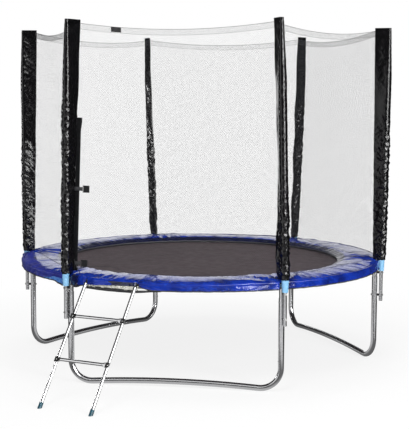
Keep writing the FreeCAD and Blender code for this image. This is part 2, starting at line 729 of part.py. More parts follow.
def net_gaps(low, high, height):
    """Outlines of the net's gaps: a grid of four-sided holes that follows the panel."""
    strand = size("net_strand")
    gaps = []
    floor = size("bottom_hem") + strand
    for column in range(NET_COLUMNS):
        for line in range(NET_ROWS):
            corners = []
            for far, up in ((0, 0), (1, 0), (1, 1), (0, 1)):
                share_x = (column + far) / NET_COLUMNS
                share_y = (line + up) / NET_ROWS
                wide = low + (high - low) * share_y - strand
                across = (2 * share_x - 1) * wide
                ceiling = sagging(across, high, height) - size("top_hem") - strand
                level = floor + share_y * (ceiling - floor)
                shift_x = (1 - 2 * far) * strand / 2
                shift_y = (1 - 2 * up) * strand / 2
                corners.append(Vector(across + shift_x, level + shift_y, 0))
            gaps.append(Part.makePolygon(corners + corners[:1]))
    return gaps


def safety_net():
    """Mesh panels and their hems, as two nodes."""
    meshes = []
    hems = []
    for turn, (low, high, height, place) in net_panels():
        hem = size("top_hem")
        bottom_hem = size("bottom_hem")

        def top_edge(x, high=high, height=height):
            return sagging(x, high, height)

        def hem_edge(x, high=high, height=height):
            return sagging(x, high, height) - size("top_hem")

        mesh_outline = panel_band(low, high, height, lambda x: size("bottom_hem"), hem_edge)
        mesh = thick(mesh_outline, net_gaps(low, high, height), size("net_thickness"))
        top = thick(panel_band(low, high, height, hem_edge, top_edge), [], size("hem_thickness"))
        bottom_outline = panel_band(low, high, height, lambda x: 0.0, lambda x: size("bottom_hem"))
        bottom = thick(bottom_outline, [], size("hem_thickness"))
        for piece, group in ((mesh, meshes), (top, hems), (bottom, hems)):
            piece.Placement = turned(turn).multiply(place).multiply(piece.Placement)
            group.append(piece)
    grouped("safety_net", meshes)
    grouped("net_hems", hems)


# Door of the net: zip flap, slider and two side-release buckles.

def door_edge():
    """Placement along the left side edge of the front panel, with +Y up the edge."""
    low, high, height, place = net_panel_frame(size("leg_half_angle"), 1)
    slope = math.degrees(math.atan2(low - high, height))
    edge = Placement(Vector(-low, 0, 0), Rotation(UP, -slope))
    return place.multiply(edge)


def block(x, y, z, width, length, thickness):
    """Box given by its lowest corner."""
    return Part.makeBox(width, length, thickness, Vector(x, y, z))


def door_zip():
    """Long fabric flap with the zip's teeth under its free edge."""
    level = size("hem_thickness") / 2 + 0.5
    flap = block(size("zip_inset"), 2, level, size("zip_width"), size("zip_length"), size("zip_thickness"))
    return shaped("door_zip", flap, door_edge())


def zip_slider():
    """Slider body with its hanging pull tab."""
    level = size("hem_thickness") / 2 + 0.5 + size("zip_thickness") + 0.4
    x = size("zip_inset") + 2
    y = size("pull_length") + 8
    body = block(x, y, level, size("slider_width"), size("slider_length"), size("slider_height"))
    edges = [edge for edge in body.Edges if abs(edge.tangentAt(edge.FirstParameter).y) > 0.9]
    body = body.makeFillet(1.2, edges)
    tab_width = size("slider_width") - 3
    tab = block(x + 1.5, y + 4 - size("pull_length"), level + 1, tab_width, size("pull_length"), 1.6)
    return shaped("zip_slider", body.fuse(tab).removeSplitter(), door_edge())


def buckle_level():
    """Underside of a buckle above the plane of the net."""
    return size("hem_thickness") / 2 + 1.5


def buckle_socket(height):
    """Open shell that takes the prongs; its mouth faces the pole."""
    x = size("buckle_inset")
    y = height - size("buckle_width") / 2
    wall = size("buckle_wall")
    level = buckle_level()
    length = size("buckle_length")
    width = size("buckle_width")
    outside = block(x, y, level, length, width, size("buckle_thickness"))
    outside = outside.makeFillet(2.0, outside.Edges)
    hollow = block(x - 1, y + wall, level + wall, length - wall, width - 2 * wall,
                   size("buckle_thickness") - 2 * wall)
    middle = length / 2 - size("prong_width") / 2
    window = block(x + middle, y - 1, level + wall, size("prong_width") + 3, width + 2,
                   size("buckle_thickness") - 2 * wall)
    return outside.cut(hollow).cut(window)


def buckle_plug(height):
    """Shoulder with a strap slot, two side prongs and a middle guide."""
    mouth = size("buckle_inset")
    play = size("buckle_play")
    wall = size("buckle_wall")
    width = size("buckle_width")
    level = buckle_level() + wall + play
    thickness = size("buckle_thickness") - 2 * (wall + play)
    shoulder = size("plug_shoulder")
    low = height - width / 2
    back = block(mouth - shoulder - play, low, level, shoulder, width, thickness)
    slot = block(mouth - shoulder, low + 5, level - 1, 3, width - 10, thickness + 2)
    back = back.cut(slot)
    inner = width - 2 * (wall + play)
    prong = size("prong_width")
    reach = size("prong_length")
    first = low + wall + play
    pieces = []
    for y in (first, first + inner - prong, height - prong / 4):
        wide = prong if y != height - prong / 4 else prong / 2
        pieces.append(block(mouth - shoulder / 4, y, level, reach, wide, thickness))
    return back.multiFuse(pieces).removeSplitter()


def door_buckles():
    """Two sockets in one node, and the two plugs, which move on their own."""
    edge = door_edge()
    heights = (("upper", size("buckle_high")), ("lower", size("buckle_low")))
    sockets = Part.makeCompound([buckle_socket(height) for _, height in heights])
    shaped("door_buckle_sockets", sockets, edge)
    for name, height in heights:
        shaped("buckle_plug_" + name, buckle_plug(height), edge)


# Mat, V-rings and springs.

def jumping_mat():
    """Flat round mat."""
    mat = cylinder("Mat", "@mat_radius", "@mat_thickness", Placement())
    node("mat", mat, turned(0, z=size("mat_bottom")))


def v_ring():
    """Flat triangular ring of wire at angle 0, its bar against the mat."""
    start = size("mat_radius") + 0.6
    end = size("mat_radius") + size("ring_reach")
    half = size("ring_width") / 2
    wire = size("ring_wire")
    level = size("mat_bottom") + size("mat_thickness") / 2 - wire / 2
    nose = wire

    def outline(inset):
        low = start + inset
        high = end - inset
        side = half - 1.6 * inset
        tip = nose - 0.6 * inset
        corners = [(low, -side), (high, -tip), (high, tip), (low, side), (low, -side)]
        return Part.makePolygon([Vector(x, y, level) for x, y in corners])

    loop = Part.makeFace([outline(0), outline(wire)], "Part::FaceMakerBullseye")
    return loop.extrude(Vector(0, 0, wire))


def mat_spring():
    """Envelope of a spring at angle 0, with its two hooks, from V-ring to rail."""
    start = size("mat_radius") + size("ring_reach") + 0.4
    end = size("frame_radius") - size("tube_radius") - 0.3
    low = size("mat_bottom") + size("mat_thickness") / 2
    high = size("rail_height")
    axis = Vector(end - start, 0, high - low)
    foot = Vector(start, 0, low)
    hook = size("spring_hook_length")
    along_axis = axis * (1 / axis.Length)
    coil_start = foot + along_axis * hook
    coil = Part.makeCylinder(size("spring_radius"), axis.Length - 2 * hook, coil_start, axis)
    hooks = Part.makeCylinder(size("spring_hook_radius"), axis.Length, foot, axis)
    return coil.fuse(hooks).removeSplitter()


def round_the_mat(make):
    """Copies of a piece at all springs' angles."""
    pieces = []
    for number in range(SPRING_COUNT):
        piece = make.copy()
        piece.Placement = turned(size("spring_first_angle") + number * 360 / SPRING_COUNT)
        pieces.append(piece)
    return pieces


# Spring pad and its skirt.

def spring_pad():
    """Crowned ring over the springs, notched at the poles."""
    inner = size("pad_inner")
    outer = size("pad_outer")
    bottom = size("pad_bottom")
    lip = size("pad_lip")
    rail = size("frame_radius")
    under = [
        Vector(inner + 4.5, 0, bottom),
        Vector(size("pad_coil_start"), 0, size("pad_coil_low")),
        Vector(size("pad_coil_end"), 0, size("pad_coil_high")),
        Vector(rail - 14, 0, size("pad_over_rail")),
        Vector(rail + 14, 0, size("pad_over_rail")),
        Vector(rail + 22, 0, lip),
        Vector(outer, 0, lip),
        Vector(outer, 0, lip + 3),
    ]
    shoulder = Vector(size("pad_shoulder_radius"), 0, size("pad_shoulder_height"))
    roll = Vector(outer - 5, 0, (lip + 3 + shoulder.z) / 2 + 1.5)
    fall = Vector(size("pad_fall_radius"), 0, size("pad_fall_height"))
    crown = Vector(size("pad_crown_radius"), 0, size("pad_crown_height"))
    slope = Vector(size("pad_slope_radius"), 0, size("pad_slope_height"))
    brow = Vector(inner + 9.5, 0, bottom + 18.5)
    nose = Vector(inner, 0, bottom + 8.5)
    edges = [Part.LineSegment(a, b).toShape() for a, b in zip(under, under[1:])]
    edges.append(Part.Arc(under[-1], roll, shoulder).toShape())
    edges.append(Part.Arc(shoulder, fall, crown).toShape())
    edges.append(Part.Arc(crown, slope, brow).toShape())
    edges.append(Part.Arc(brow, nose, under[0]).toShape())
    ring = Part.Face(Part.Wire(edges)).revolve(Vector(), UP, 360)
    notches = pole_notches(bottom - 1, crown.z)
    shaped("spring_pad", ring.cut(notches).cut(hook_notches(bottom - 1, crown.z)).cut(hook_pockets()))


def pole_notches(low, high):
    """Cutters for the collars and sleeves of all six poles."""
    cutters = []
    for _, angle, _ in posts():
        place = turned(angle).multVec(Vector(size("pole_circle"), 0, low))
        cutters.append(Part.makeCylinder(size("pole_notch"), high - low, place))
    return Part.makeCompound(cutters)


def at_hooks(inner, length, low, high):
    """Cutters at both ladder hooks, from a distance off the trampoline's axis."""
    cutters = []
    for side in (-1, 1):
        y = side * size("ladder_half_width") - size("hook_notch")
        cutter = Part.makeBox(length, 2 * size("hook_notch"), high - low, Vector(inner, y, low))
        cutter.Placement = turned(size("ladder_angle"))
        cutters.append(cutter)
    return Part.makeCompound(cutters)


def hook_notches(low, high):
    """Cutters through the outer edge of pad and skirt for the ladder's tubes."""
    return at_hooks(size("frame_radius") + 12, 60, low, high)


def hook_pockets():
    """Cutters under the pad for the ladder's hooks."""
    return at_hooks(size("frame_radius") - 45, 60, size("pad_bottom") - 1, size("hook_pocket"))


def pad_skirt():
    """Skirt that hangs over the rail, open at the poles and at the ladder's hooks."""
    low = size("skirt_bottom")
    high = size("pad_lip") - 0.1
    outside = Part.makeCylinder(size("pad_outer") - 1, high - low, Vector(0, 0, low))
    inside = Part.makeCylinder(size("pad_outer") - 1 - size("skirt_wall"), high - low, Vector(0, 0, low))
    skirt = outside.cut(inside).cut(pole_notches(low - 1, high + 1))
    shaped("pad_skirt", skirt.cut(hook_notches(low - 1, high + 1)))


# Ladder. Its frame: +X outwards, +Y along the hinge line, origin on that line.

def ladder_hinge():
    """Distance of the ladder's hinge line from the trampoline's axis."""
    return math.sqrt(size("frame_radius") ** 2 - size("ladder_half_width") ** 2)


def ladder_place():
    """Placement of the ladder's own frame."""
    return turned(size("ladder_angle"), x=ladder_hinge(), z=size("rail_height"))


def ladder_down():
    """Direction down the ladder's rails."""
    lean = math.radians(size("ladder_lean"))
    return Vector(math.sin(lean), 0, -math.cos(lean))


def ladder_out():
    """Direction square to the rails, away from the trampoline."""
    lean = math.radians(size("ladder_lean"))
    return Vector(math.cos(lean), 0, math.sin(lean))


def ladder_point(side, distance, out=0.0):
    """Point on a ladder rail's axis, moved outwards if asked."""
    base = ladder_out() * (size("ladder_offset") + out) + ladder_down() * distance
    return base + Vector(0, side * size("ladder_half_width"), 0)


def floor_distance():
    """Distance along a rail at which its axis meets the floor."""
    start = size("rail_height") + ladder_point(0, 0).z
    return start / math.cos(math.radians(size("ladder_lean")))


def joint_holes(side, outer_radius, reach):
    """Cutters for the two screws of a hook joint."""
    cutters = []
    for distance in (size("joint_screw_high"), size("joint_screw_low")):
        start = ladder_point(side, distance)
        radius = size("ladder_screw_radius") + size("bolt_play")
        cutters.append(Part.makeCylinder(radius, outer_radius + reach, start, ladder_out()))
    return Part.makeCompound(cutters)


def ladder_rail(label, side):
    """Long tube with a narrow spigot at its upper end."""
    down = ladder_down()
    outer = size("ladder_tube_radius")
    wall = size("ladder_tube_wall")
    seam = size("ladder_seam") + 0.1
    end = floor_distance() - size("ladder_foot_sole")
    spigot = outer - wall - 0.2
    spigot_start = size("ladder_seam") - size("ladder_spigot")
    ring_end = seam + 6
    tube = Part.makeCylinder(outer, end - seam, ladder_point(side, seam), down)
    bore = Part.makeCylinder(outer - wall, end - ring_end, ladder_point(side, ring_end), down)
    neck = Part.makeCylinder(spigot, seam - spigot_start, ladder_point(side, spigot_start), down)
    throat_length = ring_end - spigot_start + 0.5
    throat = Part.makeCylinder(spigot - wall, throat_length, ladder_point(side, spigot_start), down)
    rail = tube.fuse(neck).cut(bore).cut(throat).cut(joint_holes(side, outer, 1))
    for distance in (size("rung_high"), size("rung_low")):
        start = ladder_point(side, distance)
        radius = size("ladder_screw_radius") + size("bolt_play")
        rail = rail.cut(Part.makeCylinder(radius, 2 * outer, start, ladder_out()))
    shaped(label, rail, ladder_place())


def ladder_hook(label, side):
    """Short tube with a bent plate that hooks over the top rail."""
    down = ladder_down()
    inner = size("hook_inner")
    outer = inner + size("hook_plate")
    width = size("hook_width")
    y = side * size("ladder_half_width")
    first_angle = size("ladder_lean")
    last_angle = first_angle + size("hook_wrap")

    def on(radius, angle):
        turn = math.radians(angle)
        return Vector(radius * math.cos(turn), y - width / 2, radius * math.sin(turn))

    middle = (first_angle + last_angle) / 2
    tang = size("hook_tang")
    a = on(inner, first_angle)
    b = on(inner, last_angle)
    c = on(outer, last_angle)
    d = on(outer, first_angle)
    e = d + down * tang
    f = a + down * tang
    edges = [
        Part.Arc(a, on(inner, middle), b).toShape(),
        Part.LineSegment(b, c).toShape(),
        Part.Arc(c, on(outer, middle), d).toShape(),
        Part.LineSegment(d, e).toShape(),
        Part.LineSegment(e, f).toShape(),
        Part.LineSegment(f, a).toShape(),
    ]
    plate = Part.Face(Part.Wire(edges)).extrude(Vector(0, width, 0))
    start = size("ladder_tube_start")
    length = size("ladder_seam") - start
    radius = size("ladder_tube_radius")
    bore = radius - size("ladder_tube_wall")
    tube = Part.makeCylinder(radius, length, ladder_point(side, start), down)
    bore_start = ladder_point(side, tang + 4)
    hollow = Part.makeCylinder(bore, size("ladder_seam") - tang - 4, bore_start, down)
    hook = plate.fuse(tube).cut(hollow).cut(joint_holes(side, radius, 1)).removeSplitter()
    shaped(label, hook, ladder_place())


def rung_section(y, half_length, half_thickness):
    """Four-sided outline across a rung's end."""
    down = ladder_down()
    out = ladder_out()
    corners = []
    for along_rail, off in ((1, 1), (-1, 1), (-1, -1), (1, -1)):
        point = down * (along_rail * half_length) + out * (off * half_thickness)
        corners.append(point + Vector(0, y, 0))
    return Part.makePolygon(corners + corners[:1])


def rung_circle(y, radius):
    """Circle across a rung, in four arcs that start at the corners' directions."""
    down = ladder_down()
    out = ladder_out()

    def on(angle):
        turn = math.radians(angle)
        return down * (radius * math.cos(turn)) + out * (radius * math.sin(turn)) + Vector(0, y, 0)

    edges = []
    for start in (45, 135, 225, 315):
        edges.append(Part.Arc(on(start), on(start + 45), on(start + 90)).toShape())
    return Part.Wire(edges)


def ladder_rung(label, distance):
    """Round tube whose flared flat ends lie on the rails and take a screw each."""
    radius = size("rung_radius")
    half = size("rung_flat") / 2
    wide = size("rung_flat_width") / 2
    rail = size("ladder_half_width")
    round_end = rail - size("ladder_tube_radius") - 22
    flat_start = rail - size("ladder_tube_radius") - 2
    flat_end = rail + size("ladder_tube_radius") + 3
    tube = Part.makeCylinder(radius, 2 * round_end, Vector(0, -round_end, 0), Vector(0, 1, 0))
    pieces = []
    for side in (-1, 1):
        circle = rung_circle(side * round_end, radius)
        flat = rung_section(side * flat_start, wide, half)
        pieces.append(Part.makeLoft([circle, flat], True, True))
        outline = Part.Face(rung_section(side * flat_start, wide, half))
        plate = outline.extrude(Vector(0, side * (flat_end - flat_start), 0))
        hole_start = Vector(0, side * rail, 0) - ladder_out() * 4
        hole_radius = size("ladder_screw_radius") + size("bolt_play")
        pieces.append(plate.cut(Part.makeCylinder(hole_radius, 8, hole_start, ladder_out())))
    rung = tube.multiFuse(pieces).removeSplitter()
    bore = Part.makeCylinder(radius - 1.2, 2 * round_end - 4, Vector(0, 2 - round_end, 0), Vector(0, 1, 0))
    rung = rung.cut(bore)
    off = size("ladder_tube_radius") + 0.2 + half
    centre = ladder_out() * (size("ladder_offset") + off) + ladder_down() * distance
    shaped(label, rung, ladder_place().multiply(Placement(centre, Rotation())))


def ladder_feet():
    """Caps on the rails' lower ends, cut level at the floor."""
    down = ladder_down()
    radius = size("ladder_foot_radius")
    start = floor_distance() - size("ladder_foot_length")
    floor = -size("rail_height")
    caps = []
    for side in (-1, 1):
        cap = Part.makeCylinder(radius, size("ladder_foot_length") + 20, ladder_point(side, start), down)
        bore_length = size("ladder_foot_length") - size("ladder_foot_sole") + 0.2
        bore = Part.makeCylinder(size("ladder_tube_radius") + 0.05, bore_length, ladder_point(side, start), down)
        ground = ladder_point(side, floor_distance())
        below = Part.makeBox(120, 120, 60, Vector(ground.x - 60, ground.y - 60, floor - 60))
        caps.append(cap.cut(bore).cut(below))
    shaped("ladder_feet", Part.makeCompound(caps), ladder_place())


def ladder_screws():
    """Screws of the hook joints and of the rungs."""
    radius = size("ladder_screw_radius")
    tube = size("ladder_tube_radius")
    pieces = []
    for side in (-1, 1):
        for distance in (size("joint_screw_high"), size("joint_screw_low")):
            start = ladder_point(side, distance, tube + 0.1)
            pieces.append(pan_screw(radius, 6, start, ladder_out()))
        for distance in (size("rung_high"), size("rung_low")):
            start = ladder_point(side, distance, tube + 0.3 + size("rung_flat"))
            pieces.append(pan_screw(radius, 8, start, ladder_out()))
    shaped("ladder_screws", Part.makeCompound(pieces), ladder_place())


# Assembly of all nodes.

for rail_number in range(6):
    is_first = rail_number % 2 == 0
    side_angle = size("rail_span") - size("leg_half_angle")
    stub = side_angle if is_first else size("leg_half_angle")
    top_rail(rail_number + 1, stub, LEG_MIDDLES[0] - 60 + 60 * rail_number)
for post_number, post_angle, post_lean in posts():
    leg_post(post_number, post_angle)
    lower_pole(post_number, post_angle)
    upper_pole(post_number, post_angle, post_lean)
    pole_sleeve(post_number, post_angle, post_lean)
for base_number, base_middle in enumerate(LEG_MIDDLES, start=1):
    leg_base(base_number, base_middle)
bolt_heights = (size("bolt_low"), size("bolt_high"))
screw_heights = (size("screw_low"), size("screw_high"))
grouped("pole_foams", at_posts(lambda lean: [pole_foam(lean)]))
grouped("pole_caps", at_posts(lambda lean: [pole_cap(lean)]))
grouped("pole_collars", at_posts(lambda lean: [pole_collar()]))
grouped("pole_bolts", at_posts(lambda lean: [pole_bolt(height) for height in bolt_heights]))
grouped("pole_nuts", at_posts(lambda lean: [pole_nut(height) for height in bolt_heights]))
grouped("pole_spacers", at_posts(lambda lean: [pole_spacer(height) for height in bolt_heights]))
grouped("leg_screws", at_posts(lambda lean: [leg_screw(height) for height in screw_heights]))
safety_net()
door_zip()
zip_slider()
door_buckles()
jumping_mat()
grouped("mat_rings", round_the_mat(v_ring()))
grouped("mat_springs", round_the_mat(mat_spring()))
spring_pad()
pad_skirt()
ladder_rail("ladder_rail_left", -1)
ladder_rail("ladder_rail_right", 1)
ladder_hook("ladder_hook_left", -1)
ladder_hook("ladder_hook_right", 1)
ladder_rung("ladder_rung_upper", size("rung_high"))
ladder_rung("ladder_rung_lower", size("rung_low"))
ladder_feet()
ladder_screws()
doc.recompute()

for thing in doc.Objects:
    if "Invalid" in thing.State or "Error" in thing.State:
        raise RuntimeError(f"{thing.Label} failed: {thing.State}")
os.makedirs("parts", exist_ok=True)
for thing in nodes:
    shape = thing.Shape
    if shape.isNull() or not shape.isValid() or not shape.Solids:
        raise RuntimeError(f"{thing.Label} has no valid solid")
    shape.exportStep(f"parts/{thing.Label}.step")
print(len(nodes), "nodes")
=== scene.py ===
import math

import bmesh
import bpy
from mathutils import Matrix, Vector, noise


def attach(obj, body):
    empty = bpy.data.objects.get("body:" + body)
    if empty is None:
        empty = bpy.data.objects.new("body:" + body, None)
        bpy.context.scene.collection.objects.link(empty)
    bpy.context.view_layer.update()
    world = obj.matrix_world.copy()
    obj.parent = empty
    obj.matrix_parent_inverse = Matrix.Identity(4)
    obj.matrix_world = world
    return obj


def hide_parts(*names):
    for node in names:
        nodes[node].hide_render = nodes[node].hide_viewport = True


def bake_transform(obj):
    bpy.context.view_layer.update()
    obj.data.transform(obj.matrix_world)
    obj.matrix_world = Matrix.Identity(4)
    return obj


# Trampoline: looks around the fixed frame. Metres, +Z up, nearest side -Y.
# A post's pieces are worked out at angle 0, on the +X side, and then turned.

AXIS_Y = 0.247
POLE_CIRCLE = 1.262
POLE_JOINT = 0.690
POLE_TOP = 2.268
POLE_SPLAY = 0.022
POLE_LEAN = 0.055
LEG_HALF_ANGLE = 33.0
POSTS = {1: (-123.0, 1), 2: (-57.0, -1), 3: (-3.0, 1), 4: (63.0, -1), 5: (117.0, 1), 6: (183.0, -1)}

SLEEVE_BOTTOM = 0.709
SLEEVE_MIDDLE = 1.930
SLEEVE_TOP = 2.2755
FIN_BOTTOM = 0.054
FIN_MIDDLE = 0.086
FIN_TOP = 0.094
NET_BOTTOM = 0.716
NET_TOP = 2.256
NET_SAG = 0.042
MAT_RADIUS = 1.000
MAT_TOP = 0.6605
RAIL_HEIGHT = 0.665
RAIL_CIRCLE = 1.220
SKIRT_BOTTOM = 0.640
SPRING_COUNT = 48
SPRING_FIRST = 3.75
LADDER_ANGLE = -107.22
LADDER_HALF = 0.1746

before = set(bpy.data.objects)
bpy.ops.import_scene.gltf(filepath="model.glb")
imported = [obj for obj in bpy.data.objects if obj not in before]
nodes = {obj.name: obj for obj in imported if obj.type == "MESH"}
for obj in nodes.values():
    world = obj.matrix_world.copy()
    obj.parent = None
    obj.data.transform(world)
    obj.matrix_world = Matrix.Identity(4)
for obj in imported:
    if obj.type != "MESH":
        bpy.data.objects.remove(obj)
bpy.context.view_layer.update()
scene = bpy.context.scene


def smooth(x, low, high):
    """Smooth step from 0 at low to 1 at high."""
    t = min(1.0, max(0.0, (x - low) / (high - low)))
    return t * t * (3 - 2 * t)


def lerp(a, b, t):
    return a + (b - a) * t


def turned(angle):
    """Turn in degrees about the trampoline's axis."""
    return Matrix.Translation((0, AXIS_Y, 0)) @ Matrix.Rotation(math.radians(angle), 4, "Z")


# Camera

SENSOR_WIDTH = 36.0
FOCAL_PIXELS = 1119.1248
PICTURE_PIXELS = 429.0
CAMERA_HEIGHT = 1.791444


def make_camera():
    azimuth = math.radians(9.1731)
    pitch = math.radians(5.73507)
    roll = math.radians(0.206902)
    distance = 7.864419
    away = Vector((-math.sin(azimuth), math.cos(azimuth), 0))
    forward = away * math.cos(pitch) - Vector((0, 0, math.sin(pitch)))
    level = Vector((math.cos(azimuth), math.sin(azimuth), 0))
    rise = level.cross(forward)
    right = level * math.cos(roll) + rise * math.sin(roll)
    up = rise * math.cos(roll) - level * math.sin(roll)
    data = bpy.data.cameras.new("camera")
    data.sensor_width = SENSOR_WIDTH
    data.lens = FOCAL_PIXELS * SENSOR_WIDTH / PICTURE_PIXELS
    data.shift_x = 0.007304
    data.shift_y = -0.006466
    data.clip_end = 200.0
    camera = bpy.data.objects.new("camera", data)
    scene.collection.objects.link(camera)
    place = Matrix((right, up, -forward)).transposed().to_4x4()
    place.translation = (distance * math.sin(azimuth), AXIS_Y - distance * math.cos(azimuth), CAMERA_HEIGHT)
    camera.matrix_world = place
    scene.camera = camera


# Shader nodes

def add_node(tree, kind, inputs=(), **settings):
    """New node; its inputs, by name or number, get numbers, colours or the outputs of other nodes."""
    made = tree.nodes.new("ShaderNode" + kind)
    for name, value in settings.items():
        setattr(made, name, value)
    for name, value in dict(inputs).items():
        if isinstance(value, bpy.types.NodeSocket):
            tree.links.new(value, made.inputs[name])
        else:
            made.inputs[name].default_value = value
    return made


def eased(tree, source, low, high, start, end, shape="SMOOTHSTEP"):
    """Change from start to end while the source goes from low to high."""
    limits = {"Value": source, "From Min": low, "From Max": high, "To Min": start, "To Max": end}
    return add_node(tree, "MapRange", limits, interpolation_type=shape).outputs["Result"]


def math_node(tree, operation, first, *rest):
    """Sockets and numbers combined one after the other."""
    for value in rest:
        first = add_node(tree, "Math", {0: first, 1: value}, operation=operation).outputs[0]
    return first


# Materials

# Pitch of a wave texture's lines at a scale of 1
WAVE_PITCH = 0.314
SOCKETS = {"coat": "Coat Weight", "coat_roughness": "Coat Roughness", "specular": "Specular IOR Level"}


class Paint:
    """A Principled material with procedural detail; a texture is given as its kind and its values."""

    def __init__(self, name, color, roughness, metallic=0.0, **more):
        self.material = bpy.data.materials.new(name)
        self.material.use_nodes = True
        self.tree = self.material.node_tree
        self.shader = self.tree.nodes["Principled BSDF"].inputs
        self.color = (*color, 1)
        self.shader["Base Color"].default_value = self.color
        self.shader["Roughness"].default_value = roughness
        self.shader["Metallic"].default_value = metallic
        for name, value in more.items():
            self.shader[SOCKETS[name]].default_value = value
        self.place = self.node("TexCoord").outputs["Object"]

    def node(self, kind, inputs=(), **settings):
        return add_node(self.tree, kind, inputs, **settings)

    def noise(self, scale, detail, stretch=(1, 1, 1)):
        place = self.node("Mapping", {"Vector": self.place, "Scale": stretch}).outputs["Vector"]
        return self.node("TexNoise", {"Vector": place, "Scale": scale, "Detail": detail}).outputs["Fac"]

    def voronoi(self, scale):
        return self.node("TexVoronoi", {"Vector": self.place, "Scale": scale}).outputs["Color"]

    def weave(self, pitch):
        """Crossed threads at a pitch in metres."""
        lines = {"Vector": self.place, "Scale": WAVE_PITCH / pitch}
        waves = [self.node("TexWave", lines, wave_type="BANDS", bands_direction=axis, wave_profile="SIN")
                 for axis in "XYZ"]
        return math_node(self.tree, "ADD", *[wave.outputs["Fac"] for wave in waves])

    def texture(self, kind, *values):
        return {"noise": self.noise, "voronoi": self.voronoi, "weave": self.weave}[kind](*values)

    def share(self, texture, low, high, start, end):
        """From low to high while the texture goes from start to end."""
        return eased(self.tree, self.texture(*texture), start, end, low, high, "LINEAR")

    def mottle(self, texture, other, start=0.4, end=0.7, amount=1.0):
        """Mix another colour in where the texture is high."""
        base = self.shader["Base Color"]
        colors = {"Factor": self.share(texture, 0.0, amount, start, end),
                  "A": base.links[0].from_socket if base.links else self.color, "B": (*other, 1)}
        self.tree.links.new(self.node("Mix", colors, data_type="RGBA").outputs["Result"], base)
        return self

    def worn(self, texture, low, high):
        """Let the roughness follow the texture."""
        self.tree.links.new(self.share(texture, low, high, 0.35, 0.65), self.shader["Roughness"])
        return self

    def bump(self, texture, strength, distance):
        relief = {"Strength": strength, "Distance": distance, "Height": self.texture(*texture)}
        self.tree.links.new(self.node("Bump", relief).outputs["Normal"], self.shader["Normal"])
        return self


